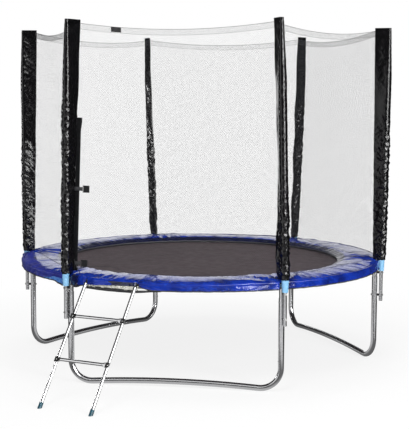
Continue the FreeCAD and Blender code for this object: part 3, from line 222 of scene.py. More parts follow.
def make_materials():
    """All materials by key."""
    made = {
        "galvanised": Paint("galvanised", (0.70, 0.70, 0.715), 0.22, 1.0)
        .mottle(("voronoi", 70), (0.64, 0.645, 0.665), 0.2, 0.8, 0.6)
        .mottle(("noise", 7, 4), (0.76, 0.76, 0.765), 0.5, 0.75, 0.5).worn(("noise", 14, 3), 0.15, 0.22),
        "ladder": Paint("ladder_zinc", (0.80, 0.80, 0.81), 0.12, 1.0)
        .mottle(("noise", 9, 4), (0.74, 0.74, 0.75)).worn(("noise", 20, 3), 0.10, 0.15),
        "bright_zinc": Paint("bright_zinc", (0.66, 0.66, 0.64), 0.25, 1.0)
        .mottle(("noise", 200, 3), (0.55, 0.54, 0.48), 0.5, 0.8, 0.6).worn(("noise", 300, 4), 0.18, 0.4),
        "spring_wire": Paint("spring_wire", (0.55, 0.55, 0.55), 0.3, 1.0)
        .mottle(("noise", 120, 3), (0.42, 0.41, 0.38), 0.5, 0.8, 0.6).worn(("noise", 250, 3), 0.2, 0.42),
        "sleeve": Paint("sleeve_cloth", (0.0015, 0.0015, 0.0018), 0.18, specular=0.55,
                        coat=0.15, coat_roughness=0.10)
        .mottle(("noise", 22, 5), (0.003, 0.0025, 0.0035))
        .worn(("noise", 70, 4, (1, 1, 0.5)), 0.11, 0.22).bump(("weave", 0.0011), 0.05, 0.0001),
        "strip": Paint("door_flap_cloth", (0.003, 0.003, 0.0035), 0.6, specular=0.12)
        .mottle(("noise", 40, 4), (0.006, 0.006, 0.007)).bump(("weave", 0.0012), 0.25, 0.0003),
        "net": Paint("net_cord", (0.030, 0.030, 0.034), 0.5).mottle(("noise", 30, 2), (0.055, 0.055, 0.060)),
        "pad": Paint("pad_film", (0.006, 0.034, 0.34), 0.13, specular=0.6, coat=0.35, coat_roughness=0.06)
        .mottle(("noise", 9, 5), (0.003, 0.010, 0.12), 0.42, 0.66, 0.95)
        .mottle(("noise", 40, 4), (0.010, 0.060, 0.46), 0.55, 0.8, 0.6)
        .worn(("noise", 38, 5), 0.08, 0.20).bump(("weave", 0.0016), 0.04, 0.0001),
        "hung": Paint("skirt_film", (0.006, 0.028, 0.30), 0.15, specular=0.35,
                      coat=0.12, coat_roughness=0.06)
        .mottle(("noise", 9, 5), (0.003, 0.009, 0.10), 0.42, 0.66, 0.95)
        .mottle(("noise", 40, 4), (0.010, 0.065, 0.50), 0.55, 0.8, 0.6)
        .worn(("noise", 38, 5), 0.08, 0.20).bump(("weave", 0.0016), 0.04, 0.0001),
        "dull": Paint("skirt_film_dull", (0.018, 0.028, 0.27), 0.5, specular=0.25)
        .mottle(("noise", 12, 5), (0.008, 0.010, 0.13), 0.38, 0.66, 0.9)
        .mottle(("noise", 45, 4), (0.030, 0.045, 0.38), 0.55, 0.8, 0.6)
        .worn(("noise", 50, 4), 0.42, 0.6).bump(("weave", 0.0016), 0.05, 0.0001),
        # Darker navy film, painted shade: the pad's inner slope and the skirt's creases at the posts and
        # hooks
        "painted_shade": Paint("pad_film_painted_shade", (0.003, 0.006, 0.050), 0.16, specular=0.5,
                       coat=0.3, coat_roughness=0.08)
        .mottle(("noise", 26, 5), (0.002, 0.003, 0.014), 0.4, 0.65, 0.9)
        .worn(("noise", 38, 5), 0.12, 0.26).bump(("weave", 0.0016), 0.04, 0.0001),
        # Lighter blue film: painted highlight on the lower skirt left of post 1
        "painted_highlight": Paint("pad_film_painted_highlight", (0.07, 0.21, 0.56), 0.25)
        .mottle(("noise", 60, 4), (0.03, 0.11, 0.42)).worn(("noise", 50, 4), 0.2, 0.4),
        "lining": Paint("pad_lining", (0.58, 0.57, 0.52), 0.5)
        .mottle(("noise", 60, 4), (0.30, 0.31, 0.24), 0.45).bump(("noise", 140, 3), 0.3, 0.0010),
        # Black cloth of the pad's underside; on the inner lip's face beside the mat it is a painted shadow
        # line
        "underside_and_shadow": Paint("pad_underside_and_painted_shadow", (0.030, 0.030, 0.034), 0.6)
        .mottle(("noise", 80, 4), (0.05, 0.05, 0.055)).bump(("weave", 0.0018), 0.3, 0.0004),
        "mat": Paint("mat_weave", (0.060, 0.046, 0.051), 0.75, specular=0.22)
        .mottle(("noise", 5, 6), (0.072, 0.055, 0.061), 0.35)
        .mottle(("noise", 260, 2, (1, 0.06, 1)), (0.088, 0.070, 0.076), 0.5, 0.75, 0.5)
        .worn(("noise", 18, 5), 0.66, 0.82).bump(("weave", 0.0015), 0.25, 0.0003),
        "webbing": Paint("webbing", (0.016, 0.016, 0.018), 0.6)
        .mottle(("noise", 90, 3), (0.032, 0.032, 0.035)).bump(("weave", 0.0014), 0.4, 0.0005),
        "thread": Paint("stitching", (0.10, 0.10, 0.11), 0.6).mottle(("noise", 300, 2), (0.16, 0.16, 0.17)),
        "collar": Paint("collar_plastic", (0.18, 0.42, 0.67), 0.22, specular=0.55,
                        coat=0.2, coat_roughness=0.2)
        .mottle(("noise", 30, 4), (0.25, 0.50, 0.74)).worn(("noise", 80, 4), 0.20, 0.34)
        .bump(("noise", 400, 2), 0.05, 0.0002),
        "foot": Paint("foot_plastic", (0.010, 0.065, 0.095), 0.38)
        .mottle(("noise", 120, 5), (0.006, 0.040, 0.060)).worn(("noise", 90, 4), 0.35, 0.55)
        .bump(("noise", 500, 2), 0.1, 0.0003),
        "black": Paint("black_plastic", (0.007, 0.007, 0.008), 0.38, specular=0.3)
        .mottle(("noise", 150, 4), (0.014, 0.014, 0.015)).worn(("noise", 200, 4), 0.3, 0.5)
        .bump(("noise", 700, 2), 0.12, 0.0002),
        "foam": Paint("foam", (0.02, 0.02, 0.02), 0.8)
        .mottle(("noise", 300, 2), (0.04, 0.04, 0.04)).bump(("voronoi", 500), 0.4, 0.0004),
        "label": Paint("bare_label", (0.012, 0.012, 0.013), 0.5)
        .mottle(("noise", 200, 3), (0.03, 0.03, 0.032), 0.45, 0.75).bump(("weave", 0.0012), 0.3, 0.0003),
    }
    return {key: paint.material for key, paint in made.items()}


# Material of the CAD nodes that stay, by the starts of their names
NODE_PAINTS = {
    "galvanised": ("top_rail", "leg_post", "leg_base", "lower_pole", "upper_pole"),
    "ladder": ("ladder_rail", "ladder_hook", "ladder_rung"),
    "bright_zinc": ("pole_bolts", "pole_nuts", "leg_screws", "ladder_screws", "mat_rings"),
    "black": ("pole_spacers", "pole_caps", "zip_slider", "door_buckle_sockets", "buckle_plug"),
    "collar": ("pole_collars",),
    "foot": ("ladder_feet",),
    "foam": ("pole_foams",),
}


def dress_nodes(paints):
    """Give every CAD node that stays its own material."""
    for name, obj in nodes.items():
        for key, starts in NODE_PAINTS.items():
            if name.startswith(starts):
                obj.data.materials.clear()
                obj.data.materials.append(paints[key])


# Mesh helpers

def piece(name, verts, faces, material, slot, body="frame"):
    """New object from points and faces, riding on a body if one is given."""
    mesh = bpy.data.meshes.new(name)
    mesh.from_pydata([tuple(v) for v in verts], [], faces)
    mesh.validate()
    shell = bmesh.new()
    shell.from_mesh(mesh)
    bmesh.ops.recalc_face_normals(shell, faces=shell.faces)
    shell.to_mesh(mesh)
    shell.free()
    mesh.polygons.foreach_set("use_smooth", [True] * len(mesh.polygons))
    mesh.materials.append(material)
    mesh.update()
    obj = bpy.data.objects.new(name, mesh)
    scene.collection.objects.link(obj)
    if body:
        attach(obj, body)
    return obj


def row_faces(low, high, columns, closed=True):
    """Quads between two rows of points; closed joins the last column to the first."""
    span = columns if closed else columns - 1
    return [(low + j, low + (j + 1) % columns, high + (j + 1) % columns, high + j) for j in range(span)]


def grid_faces(rows, columns, closed=False, offset=0):
    """Quads between all rows of points."""
    faces = []
    for i in range(rows - 1):
        faces += row_faces(offset + i * columns, offset + (i + 1) * columns, columns, closed)
    return faces


def closed_ring_faces(rows, columns):
    """Quads of a torus-like grid, closed both ways."""
    return grid_faces(rows, columns, True) + row_faces((rows - 1) * columns, 0, columns)


def double_skin(rows, columns, point, thickness):
    """Thin cloth with a rim; point gives the place for a row, a column and a depth."""
    verts = [point(i, j, depth) for depth in (0, thickness) for i in range(rows) for j in range(columns)]
    count = rows * columns
    faces = grid_faces(rows, columns)
    faces += [tuple(v + count for v in reversed(face)) for face in faces]
    rim = list(range(columns))
    rim += [i * columns + columns - 1 for i in range(1, rows)]
    rim += [(rows - 1) * columns + j for j in reversed(range(columns - 1))]
    rim += [i * columns for i in reversed(range(1, rows - 1))]
    faces += [(a, a + count, b + count, b) for a, b in zip(rim, rim[1:] + rim[:1])]
    return verts, faces


def headings(points):
    """Direction of a line at each of its points."""
    return [(after - before).normalized()
            for before, after in zip(points[:1] + points[:-1], points[1:] + points[-1:])]


def tube_faces(start, count, sides):
    """Faces round a run of rings, with both ends closed."""
    faces = grid_faces(count, sides, True, start)
    faces.append(tuple(start + j for j in reversed(range(sides))))
    faces.append(tuple(start + (count - 1) * sides + j for j in range(sides)))
    return faces


def tube_along(points, radii, sides, verts, faces):
    """Add a closed tube along points, with one radius or one for each point."""
    faces += tube_faces(len(verts), len(points), sides)
    for i, (p, ahead) in enumerate(zip(points, headings(points))):
        side = ahead.orthogonal().normalized()
        if abs(ahead.z) < 0.95:
            side = ahead.cross(Vector((0, 0, 1))).normalized()
        other = ahead.cross(side)
        radius = radii[i] if isinstance(radii, list) else radii
        for j in range(sides):
            turn = 2 * math.pi * j / sides
            verts.append(p + side * (radius * math.cos(turn)) + other * (radius * math.sin(turn)))


def band_along(points, normals, half_width, half_thickness, verts, faces):
    """Add a flat strap along points, with a normal at each."""
    rim = half_thickness * 0.4
    section = ((-1, -rim), (-0.92, -half_thickness), (0.92, -half_thickness), (1, -rim),
               (1, rim), (0.92, half_thickness), (-0.92, half_thickness), (-1, rim))
    faces += tube_faces(len(verts), len(points), len(section))
    for p, ahead, normal in zip(points, headings(points), normals):
        normal = normal.normalized()
        side = ahead.cross(normal).normalized()
        verts.extend(p + side * (across * half_width) + normal * off for across, off in section)


# Pole sleeves

def pole_centre(z, lean):
    share = max(0.0, (z - POLE_JOINT) / (POLE_TOP - POLE_JOINT))
    return Vector((POLE_CIRCLE + share * POLE_SPLAY, lean * share * POLE_LEAN, z))


def sleeve_sizes(z):
    """Lobe radius, tip radius and reach of the fin at a height."""
    if z < SLEEVE_MIDDLE:
        t = (z - SLEEVE_BOTTOM) / (SLEEVE_MIDDLE - SLEEVE_BOTTOM)
        return 0.028, 0.006, lerp(FIN_BOTTOM, FIN_MIDDLE, t)
    t = (z - SLEEVE_MIDDLE) / (SLEEVE_TOP - SLEEVE_MIDDLE)
    return lerp(0.028, 0.0145, t), lerp(0.006, 0.009, t), lerp(FIN_MIDDLE, FIN_TOP, t)


def outline(lobe, tip, fin, count):
    """Points and outward normals of the teardrop, evenly spaced, from the outermost point."""
    reach = fin - tip
    tilt = math.asin((lobe - tip) / reach)
    upper = math.pi / 2 + tilt
    straight = math.sqrt(reach ** 2 - (lobe - tip) ** 2)
    lengths = (lobe * upper, straight, 2 * tip * (math.pi - upper), straight, lobe * upper)
    total = sum(lengths)
    result = []
    for i in range(count):
        s = total * i / count
        part = 0
        while s > lengths[part]:
            s -= lengths[part]
            part += 1
        if part == 0:
            angle, radius, x = s / lobe, lobe, 0.0
        elif part == 1:
            angle, radius, x = upper, lerp(lobe, tip, s / straight), -reach * s / straight
        elif part == 2:
            angle, radius, x = upper + s / tip, tip, -reach
        elif part == 3:
            angle, radius, x = -upper, lerp(tip, lobe, s / straight), -reach * (1 - s / straight)
        else:
            angle, radius, x = -upper + s / lobe, lobe, 0.0
        normal = Vector((math.cos(angle), math.sin(angle), 0))
        result.append((Vector((x, 0, 0)) + normal * radius, normal))
    return result, total


def ridge(x, y, seed, sharp):
    """Sharp fold from 0 to 1 where the noise passes zero."""
    return max(0.0, 1 - abs(noise.noise(Vector((x, y, seed)))) * sharp) ** 2


def droop(phase, height):
    """Fold that swells slowly downwards and turns in sharply under its lower edge."""
    share = phase % 1.0
    return height * (1 - share / 0.8 if share < 0.8 else (share - 0.8) / 0.2)


def crinkle(s, z, seed):
    """Height of the sleeve's folds: drooping ones, slanting creases, fine ones, and slow swells."""
    warp = 0.012 * noise.noise(Vector((s * 14, z * 7, seed)))
    down = z + 0.75 * s + warp
    rise = z - 0.55 * s - warp
    bend = noise.noise(Vector((s * 26, z * 9, seed + 2.7)))
    strength = smooth(noise.noise(Vector((s * 16, z * 15, seed + 6.3))), -0.35, 0.30)
    folds = droop((z - 0.25 * s) / 0.031 + 1.3 * bend, 0.0048 * strength)
    creases = 0.0044 * ridge(down * 22, (s - 0.5 * z) * 9, seed, 2.4)
    creases += 0.0030 * ridge(rise * 27, (s + 0.6 * z) * 11, seed + 4.1, 2.6)
    fine = 0.0010 * ridge(down * 60, s * 38, seed + 9.1, 2.6)
    swell = noise.noise(Vector((s * 11, z * 6, seed * 0.3)))
    return folds + creases + fine + 0.0020 * swell


# Per post: height under which the cloth crumples, turn of its foot in radians, more reach of its top edge
SLEEVE_HABITS = {
    1: (1.78, 0.10, 0.012), 2: (1.18, -0.60, 0.0), 3: (1.60, 0.0, 0.0),
    4: (1.75, 0.0, 0.0), 5: (1.50, 0.0, 0.0), 6: (1.45, 0.0, 0.0),
}


def make_sleeve(number, paints):
    angle, lean = POSTS[number]
    place = turned(angle)
    crumpled, foot_turn, top_reach = SLEEVE_HABITS[number]
    columns = 104
    row_step = 0.0066
    heights = []
    z = SLEEVE_BOTTOM - 0.006
    while z < SLEEVE_TOP - 0.004:
        heights.append(z)
        z += row_step
    heights += [SLEEVE_TOP - 0.003, SLEEVE_TOP]
    verts = []
    for z in heights:
        lobe, tip, fin = sleeve_sizes(max(z, SLEEVE_BOTTOM))
        fin += lerp(0.004, 0.004 + top_reach, smooth(z, 1.0, 2.2))
        points, total = outline(lobe, tip * 0.7, fin, columns)
        centre = pole_centre(z, lean)
        soft = lerp(0.22, 1.0, 1 - smooth(z, crumpled - 0.12, crumpled + 0.12))
        hem = 1 - smooth(z, SLEEVE_BOTTOM, SLEEVE_BOTTOM + 0.03)
        twist = foot_turn * (1 - smooth(z, 0.75, 1.35))
        for j, (p, normal) in enumerate(points):
            s = total * j / columns
            on_fin = smooth(-p.x, lobe * 0.6, fin * 0.8)
            depth = crinkle(s, z, number * 3.3) * soft * lerp(1.0, 0.45, on_fin)
            point = p + normal * (depth - 0.0022 - 0.0030 * hem)
            point.y += 0.0035 * on_fin * math.sin(z * 17 + number) * (0.4 + soft)
            point = Matrix.Rotation(-twist * smooth(-p.x, 0.0, fin), 3, "Z") @ point
            verts.append(place @ (centre + point))
    top = len(verts)
    lobe, tip, fin = sleeve_sizes(SLEEVE_TOP)
    for share, drop in ((0.95, 0.0002), (0.6, -0.0008)):
        for p, _ in outline(lobe, tip * 0.7, fin + 0.004 + top_reach, columns)[0]:
            inner = Vector((lerp(-fin * 0.42, p.x, share), p.y * share, drop))
            verts.append(place @ (pole_centre(SLEEVE_TOP, lean) + inner))
    faces = grid_faces(len(heights) + 2, columns, True)
    faces.append(tuple(top + columns + j for j in range(columns)))
    faces += row_faces(len(verts), 0, columns)
    for p, _ in outline(0.0225, 0.003, 0.050, columns)[0]:
        verts.append(place @ (pole_centre(SLEEVE_BOTTOM + 0.004, lean) + p))
    obj = piece(f"sleeve_{number}", verts, faces, paints["sleeve"], "sleeve_fabric")
    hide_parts(f"pole_sleeve_{number}")


# Safety net

def net_corner(height, half_angle, towards):
    """Across and outwards of the net's corner beside a pole."""
    share = (height - NET_BOTTOM) / (NET_TOP - NET_BOTTOM)
    low = POLE_CIRCLE - FIN_BOTTOM - 0.002
    high = POLE_CIRCLE + POLE_SPLAY - FIN_TOP - 0.002
    radius = lerp(low, high, share)
    lean = towards * share * POLE_LEAN
    turn = math.radians(half_angle)
    return radius * math.sin(turn) - lean * math.cos(turn), radius * math.cos(turn) + lean * math.sin(turn)


class Panel:
    """A net panel that faces -Y before it is turned; u runs across it from -1 to 1."""

    def __init__(self, turn, half_angle, towards):
        self.turn = turned(turn)
        self.low, self.low_out = net_corner(NET_BOTTOM, half_angle, towards)
        self.high, self.high_out = net_corner(NET_TOP, half_angle, towards)
        self.height = math.hypot(self.high_out - self.low_out, NET_TOP - NET_BOTTOM)

    def top(self, u):
        return self.height - NET_SAG * (1 - u * u)

    def at(self, u, level, out=0.0):
        """Point at a share across and a height along the panel."""
        t = level / self.height
        across = u * (lerp(self.low, self.high, t) - 0.001)
        bulge = -0.010 * (1 - u * u) * math.sin(math.pi * min(1.0, max(0.0, t)))
        y = -(lerp(self.low_out, self.high_out, t) + bulge + out)
        return self.turn @ Vector((across, y, lerp(NET_BOTTOM, NET_TOP, t)))


def net_panels():
    for middle in (-90.0, 30.0, 150.0):
        yield Panel(middle + 90, LEG_HALF_ANGLE, 1)
        yield Panel(middle + 150, 60 - LEG_HALF_ANGLE, -1)


# Distance between the points of a cord, which follows the net's curve
CORD_SEGMENT = 0.22


def lattice(panel, low, high, pitch, thickness, verts, faces):
    """Two families of slanted cords between two heights of a panel; low and high are functions of u."""
    width = 2 * panel.low
    middle_height = high(0) - low(0)
    step = pitch[0] / width
    slope = (pitch[0] / pitch[1]) * middle_height / width
    half = thickness / 2
    shift = half / panel.low
    for direction in (-1, 1):
        for i in range(int((1 + slope) / step) + 2):
            start = i * step - slope if direction > 0 else i * step
            ends = sorted((edge - start) / (direction * slope) for edge in (0, 1))
            v0, v1 = max(0.0, ends[0]), min(1.0, ends[1])
            if v1 - v0 < 0.003:
                continue
            length = (v1 - v0) * math.hypot(middle_height, slope * width)
            count = max(2, int(length / CORD_SEGMENT) + 2)
            faces += grid_faces(count, 4, True, len(verts))
            for k in range(count):
                v = lerp(v0, v1, k / (count - 1))
                u = 2 * (start + direction * slope * v) - 1
                level = lerp(low(u), high(u), v)
                for du, out in ((-shift, 0), (0, half), (shift, 0), (0, -half)):
                    verts.append(panel.at(u + du, level, out + direction * half * 0.6))


def net_foot(index, panel, u):
    """Level of a panel's lower edge, which lies on the pad; the front one is drawn up beside the door."""
    foot = panel.at(u, 0)
    level = pad_top(math.hypot(foot.x, foot.y - AXIS_Y)) + 0.0025 - NET_BOTTOM
    if index == 1:
        level += 0.036 * smooth(-u, 0.42, 0.62) * (1 - 0.3 * smooth(-u, 0.8, 1.0))
    return level


# Thickness of the cords per panel: front, then on round by the right
NET_CORDS = (0.00064, 0.00054, 0.00052, 0.00052, 0.00035, 0.00028)
NET_PITCH = (0.0115, 0.0155)
HEM_DEPTH = 0.036
HEM_PITCH = (0.0070, 0.0085)
HEM_CORD = 0.00045


def make_net(paints):
    """Panels of real cords, with a hem of closer cords above and a cord along each edge."""
    hem_cords, edge_cords = ([], []), ([], [])
    steps = 70
    across = [2 * i / steps - 1 for i in range(steps + 1)]
    for index, panel in enumerate(net_panels(), 1):
        cords = ([], [])
        lattice(panel, lambda u: net_foot(index, panel, u), lambda u: panel.top(u) - 0.002,
                NET_PITCH, NET_CORDS[index - 1], *cords)
        mesh_piece = piece(f"net_panel_{index}", *cords, paints["net"], "net_mesh")
        if index == 1:
            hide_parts("safety_net")
        lattice(panel, lambda u: panel.top(u) - HEM_DEPTH, lambda u: panel.top(u) - 0.001,
                HEM_PITCH, HEM_CORD, *hem_cords)
        for lift, radius in ((-0.0014, 0.0012), (-HEM_DEPTH, 0.0007)):
            tube_along([panel.at(u, panel.top(u) + lift) for u in across], radius, 6, *edge_cords)
        line, radii = [], []
        for i, u in enumerate(across):
            wave = 0.0010 * math.sin(i * 1.7) + 0.0008 * math.sin(i * 0.61)
            line.append(panel.at(u, net_foot(index, panel, u) + wave, 0.001 * math.sin(i * 0.9)))
            radii.append(lerp(0.0011, 0.0026, smooth(abs(u), 0.80, 0.97)))
        tube_along(line, radii, 7, *edge_cords)
    hem = piece("net_hem_mesh", *hem_cords, paints["net"], "net_hem")
    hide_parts("net_hems")
    piece("net_edge_cord", *edge_cords, paints["webbing"], "net_hem")


# Jumping mat

# Radius, as a share of the mat's, and rise of the rings of points; the last ones are the sewn border
MAT_RINGS = (
    (0.12, 0.0), (0.3, 0.0), (0.5, 0.0), (0.7, 0.0), (0.85, 0.0), (0.948, 0.0), (0.950, 0.0012),
    (0.952, 0.0014), (0.972, 0.0014), (0.975, 0.0008), (0.978, 0.0014), (0.998, 0.0014), (1.0, 0.0006),
)
MAT_SEAMS = (0.955, 0.969, 0.981, 0.995)
MAT_STITCHES = 540
STITCH_SHARE = 0.22
# Distance from the axis and rise of a loop that wraps a ring at the mat's edge
LOOP_LINE = ((0.955, 0.0006), (0.965, 0.0012), (0.990, 0.0014), (1.0012, 0.0010), (1.0058, -0.0012),
             (1.0035, -0.0050), (0.997, -0.0060))


def make_mat(paints):
    """Woven disc with a sewn border."""
    columns = 288
    face, back = MAT_TOP - 0.0016, MAT_TOP - 0.0028
    rings = [(ring, face + rise, 0.0006) for ring, rise in MAT_RINGS]
    rings += [(ring, back, 0.0) for ring in (1.0, 0.95, 0.5)]
    verts = [Vector((0, AXIS_Y, face))]
    for ring, height, ripple in rings:
        for j in range(columns):
            turn = 2 * math.pi * j / columns
            x, y = ring * MAT_RADIUS * math.cos(turn), ring * MAT_RADIUS * math.sin(turn)
            wave = ripple * noise.noise(Vector((x * 6, y * 6, 3.0)))
            verts.append(Vector((x, y + AXIS_Y, height + wave)))
    centre = len(verts)
    inner = centre - columns
    verts.append(Vector((0, AXIS_Y, back)))
    faces = [(0, 1 + j, 1 + (j + 1) % columns) for j in range(columns)]
    faces += grid_faces(len(rings), columns, True, 1)
    faces += [(inner + j, inner + (j + 1) % columns, centre) for j in range(columns)]
    mat = piece("jumping_mat", verts, faces, paints["mat"], "mat_fabric", body="mat")
    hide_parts("mat")


def make_mat_seams(paints):
    """Stitches of the mat's border, and the loops that hold the V-rings."""
    verts, faces = [], []
    step = 2 * math.pi / MAT_STITCHES
    for radius in MAT_SEAMS:
        for k in range(MAT_STITCHES):
            line = []
            for i, rise in enumerate((-0.0008, 0.0001, 0.0001, -0.0008)):
                turn = k * step + (i - 1.5) * step * STITCH_SHARE
                x, y = radius * math.cos(turn), AXIS_Y + radius * math.sin(turn)
                line.append(Vector((x, y, MAT_TOP + rise)))
            tube_along(line, 0.0005, 4, verts, faces)
    piece("mat_stitches", verts, faces, paints["thread"], "mat_fabric", body="mat")

    verts, faces = [], []
    up = Vector((0, 0, 1))
    for k in range(SPRING_COUNT):
        turn = math.radians(SPRING_FIRST + 360 / SPRING_COUNT * k)
        out = Vector((math.cos(turn), math.sin(turn), 0))
        base = Vector((0, AXIS_Y, 0))
        line = [base + out * radius + Vector((0, 0, MAT_TOP + rise)) for radius, rise in LOOP_LINE]
        normals = [up] * 3 + [out + up, out, out - up, -up]
        band_along(line, normals, 0.014, 0.0007, verts, faces)
    piece("ring_loops", verts, faces, paints["webbing"], "mat_fabric", body="mat")


# Mat springs: wound coils with hooks, each running from mat to frame

SPRING_TURNS = 30
SPRING_STEPS = 10
SPRING_HOOK = 0.0145
INNER_HOOK = ((0.0015, 0.006), (-0.0035, 0.0065), (-0.0050, 0.002), (-0.0020, -0.001), (0.006, 0.0005))
OUTER_HOOK = ((-0.010, 0.0), (-0.003, 0.004), (0.0035, 0.012), (0.0095, 0.0165))


def make_springs(paints):
    start_r = MAT_RADIUS + 0.031
    end_r = RAIL_CIRCLE - 0.019
    low = MAT_TOP - 0.0015
    points = [Vector((start_r + x, 0, low + z - 0.002)) for x, z in INNER_HOOK]
    total = SPRING_TURNS * SPRING_STEPS
    for i in range(total + 1):
        t = i / total
        turn = 2 * math.pi * SPRING_TURNS * t
        swell = 0.0083 * min(1.0, 0.25 + 3 * t, 0.25 + 3 * (1 - t))
        x = start_r + lerp(SPRING_HOOK, (end_r - start_r) - SPRING_HOOK, t)
        z = lerp(low, RAIL_HEIGHT, t)
        points.append(Vector((x, swell * math.sin(turn), z + swell * math.cos(turn))))
    points += [Vector((end_r + x, 0, RAIL_HEIGHT + z)) for x, z in OUTER_HOOK]
    for k in range(SPRING_COUNT):
        place = turned(SPRING_FIRST + 360 / SPRING_COUNT * k)
        verts, faces = [], []
        tube_along([place @ p for p in points], 0.0014, 5, verts, faces)
        spring = piece(f"spring_{k + 1}", verts, faces, paints["spring_wire"], "spring_steel", body=None)
        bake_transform(spring)
        if k == 0:
            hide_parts("mat_springs")


# Spring pad with its hanging skirt

POST_ANGLES = [angle for angle, _ in POSTS.values()]
HOOK_SPREAD = math.degrees(math.asin(LADDER_HALF / RAIL_CIRCLE))
HOOK_ANGLES = [LADDER_ANGLE - HOOK_SPREAD, LADDER_ANGLE + HOOK_SPREAD]
SEAMS = [-150.0, -90.0, -30.0, 30.0, 90.0, 150.0]


def nearest(angle, places):
    """Signed distance in degrees to the nearest of some angles."""
    return min(((angle - place + 180) % 360 - 180 for place in places), key=abs)


def bell(x, middle, width):
    return math.exp(-((x - middle) / width) ** 2)


def pole_gathers(angle, radius):
    """Folds that run together at the poles."""
    turn = math.radians(angle)
    x, y = radius * math.cos(turn), radius * math.sin(turn)
    total = 0.0
    for number, (post, _) in POSTS.items():
        at = math.radians(post)
        dx, dy = x - POLE_CIRCLE * math.cos(at), y - POLE_CIRCLE * math.sin(at)
        far = math.hypot(dx, dy)
        if far < 0.55:
            around = math.atan2(dy, dx)
            fold = ridge(math.cos(around) * 3.4 + math.sin(around) * 2.3, far * 2.2, number * 7.3, 3.2)
            fine = ridge(math.cos(around) * 8.5 + math.sin(around) * 6.1, far * 3.0, number * 3.1, 3.0)
            total += (0.0105 * fold + 0.0050 * fine) * bell(far, 0.10, 0.24) * smooth(far, 0.02, 0.07)
    return total


def pad_folds(angle, radius):
    """Height of the folds on top of the pad: radial ones, and those that gather at the poles."""
    u = math.radians(angle) * 1.1
    long_fold = ridge(u * 7.0 + radius * 2.0, radius * 1.5, 4.2, 3.2)
    short_fold = ridge(u * 19.0 - radius * 3.0, radius * 3.0, 8.7, 3.0)
    swell = noise.noise(Vector((math.cos(u / 1.1) * 3.1, math.sin(u / 1.1) * 3.1, radius * 2)))
    return 0.0028 * long_fold + 0.0018 * short_fold + 0.0030 * swell + pole_gathers(angle, radius)


# Radius, height and share of the folds, from under the rail inwards, round the inner edge and over the top
PAD_PROFILE = (
    (1.2440, 0.6812, 0.0), (1.2345, 0.6872, 0.0), (1.2055, 0.6872, 0.0), (1.1900, 0.6786, 0.0),
    (1.1200, 0.6758, 0.0), (1.0460, 0.6726, 0.0), (1.0000, 0.6690, 0.0), (0.9580, 0.6656, 0.0),
    (0.9545, 0.6680, 0.1), (0.9532, 0.6725, 0.2), (0.9560, 0.6790, 0.3), (0.9630, 0.6835, 0.5),
    (0.9750, 0.6885, 0.8), (0.9920, 0.6950, 1.0), (1.0100, 0.7005, 1.0), (1.0320, 0.7045, 1.0),
    (1.0600, 0.7068, 1.0), (1.0900, 0.7078, 1.0), (1.1200, 0.7074, 1.0), (1.1500, 0.7062, 1.0),
    (1.1750, 0.7044, 1.0), (1.1980, 0.7018, 1.0), (1.2170, 0.6988, 0.9), (1.2320, 0.6952, 0.7),
    (1.2420, 0.6905, 0.5), (1.2475, 0.6850, 0.3),
)
# First row of the top (the rows below it, round the inner lip, take the black underside cloth, a painted
# shadow line on the lip's face); last row of the inner slope, which has painted shade
PAD_TOP_ROW = 10
PAD_SHADE_ROW = 14
# Where the notches for the posts and hooks begin, and how far they cut in
NOTCH_START = 1.19
POST_NOTCH = POLE_CIRCLE - 0.026
HOOK_NOTCH = 1.231
# Angle and radius beyond which the pad's film is dull, between the left post and post 1
DULL_EDGE = ((178.0, 1.19), (200.0, 1.17), (213.0, 1.17), (221.5, 1.20), (230.5, 1.235), (235.0, 1.235))


def pad_top(radius):
    """Height of the pad's top at a distance from the axis, without its folds."""
    top = PAD_PROFILE[PAD_TOP_ROW:]
    for (r0, z0, _), (r1, z1, _) in zip(top, top[1:]):
        if radius <= r1:
            return lerp(z0, z1, max(0.0, (radius - r0) / (r1 - r0)))
    return top[-1][1]


def is_dull(angle, radius):
    for (a0, r0), (a1, r1) in zip(DULL_EDGE, DULL_EDGE[1:]):
        if a0 <= angle < a1:
            return radius > lerp(r0, r1, (angle - a0) / (a1 - a0))
    return False


def make_pad(paints):
    """Cushion over the springs, notched at the posts and the ladder's hooks."""
    columns = 960
    rows = len(PAD_PROFILE)
    verts = []
    for i in range(columns):
        angle = 360 * i / columns
        seam_depth = 0.0030 * bell(nearest(angle, SEAMS), 0, 0.3)
        notch = 1 - smooth(abs(nearest(angle, POST_ANGLES)), 0.9, 1.9)
        hook = 1 - smooth(abs(nearest(angle, HOOK_ANGLES)), 0.5, 0.9)
        place = turned(angle)
        far_sag = -0.004 * smooth(math.sin(math.radians(angle)), 0.2, 0.9)
        for radius, z, share in PAD_PROFILE:
            lift = share * (pad_folds(angle, radius) - 0.0016 - seam_depth + far_sag)
            if radius > NOTCH_START:
                radius = lerp(radius, min(radius, POST_NOTCH), notch)
                radius = lerp(radius, min(radius, HOOK_NOTCH), hook)
            verts.append(place @ Vector((radius, 0, z + lift)))
    faces = closed_ring_faces(columns, rows)
    pad = piece("pad_cushion", verts, faces, paints["pad"], "pad_cover")
    for kind in ("underside_and_shadow", "painted_shade", "dull"):
        pad.data.materials.append(paints[kind])
    for poly in pad.data.polygons:
        column = [v % rows for v in poly.vertices]
        if max(column) <= PAD_TOP_ROW or (0 in column and rows - 1 in column):
            # Underside, and the inner lip's face as a painted shadow line beside the mat
            poly.material_index = 1
        elif max(column) <= PAD_SHADE_ROW:
            # Inner slope of the pad: painted shade in darker navy
            poly.material_index = 2
        elif is_dull(360 * (min(poly.vertices) // rows) / columns, PAD_PROFILE[min(column)][0] + 0.004):
            poly.material_index = 3
    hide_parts("spring_pad")


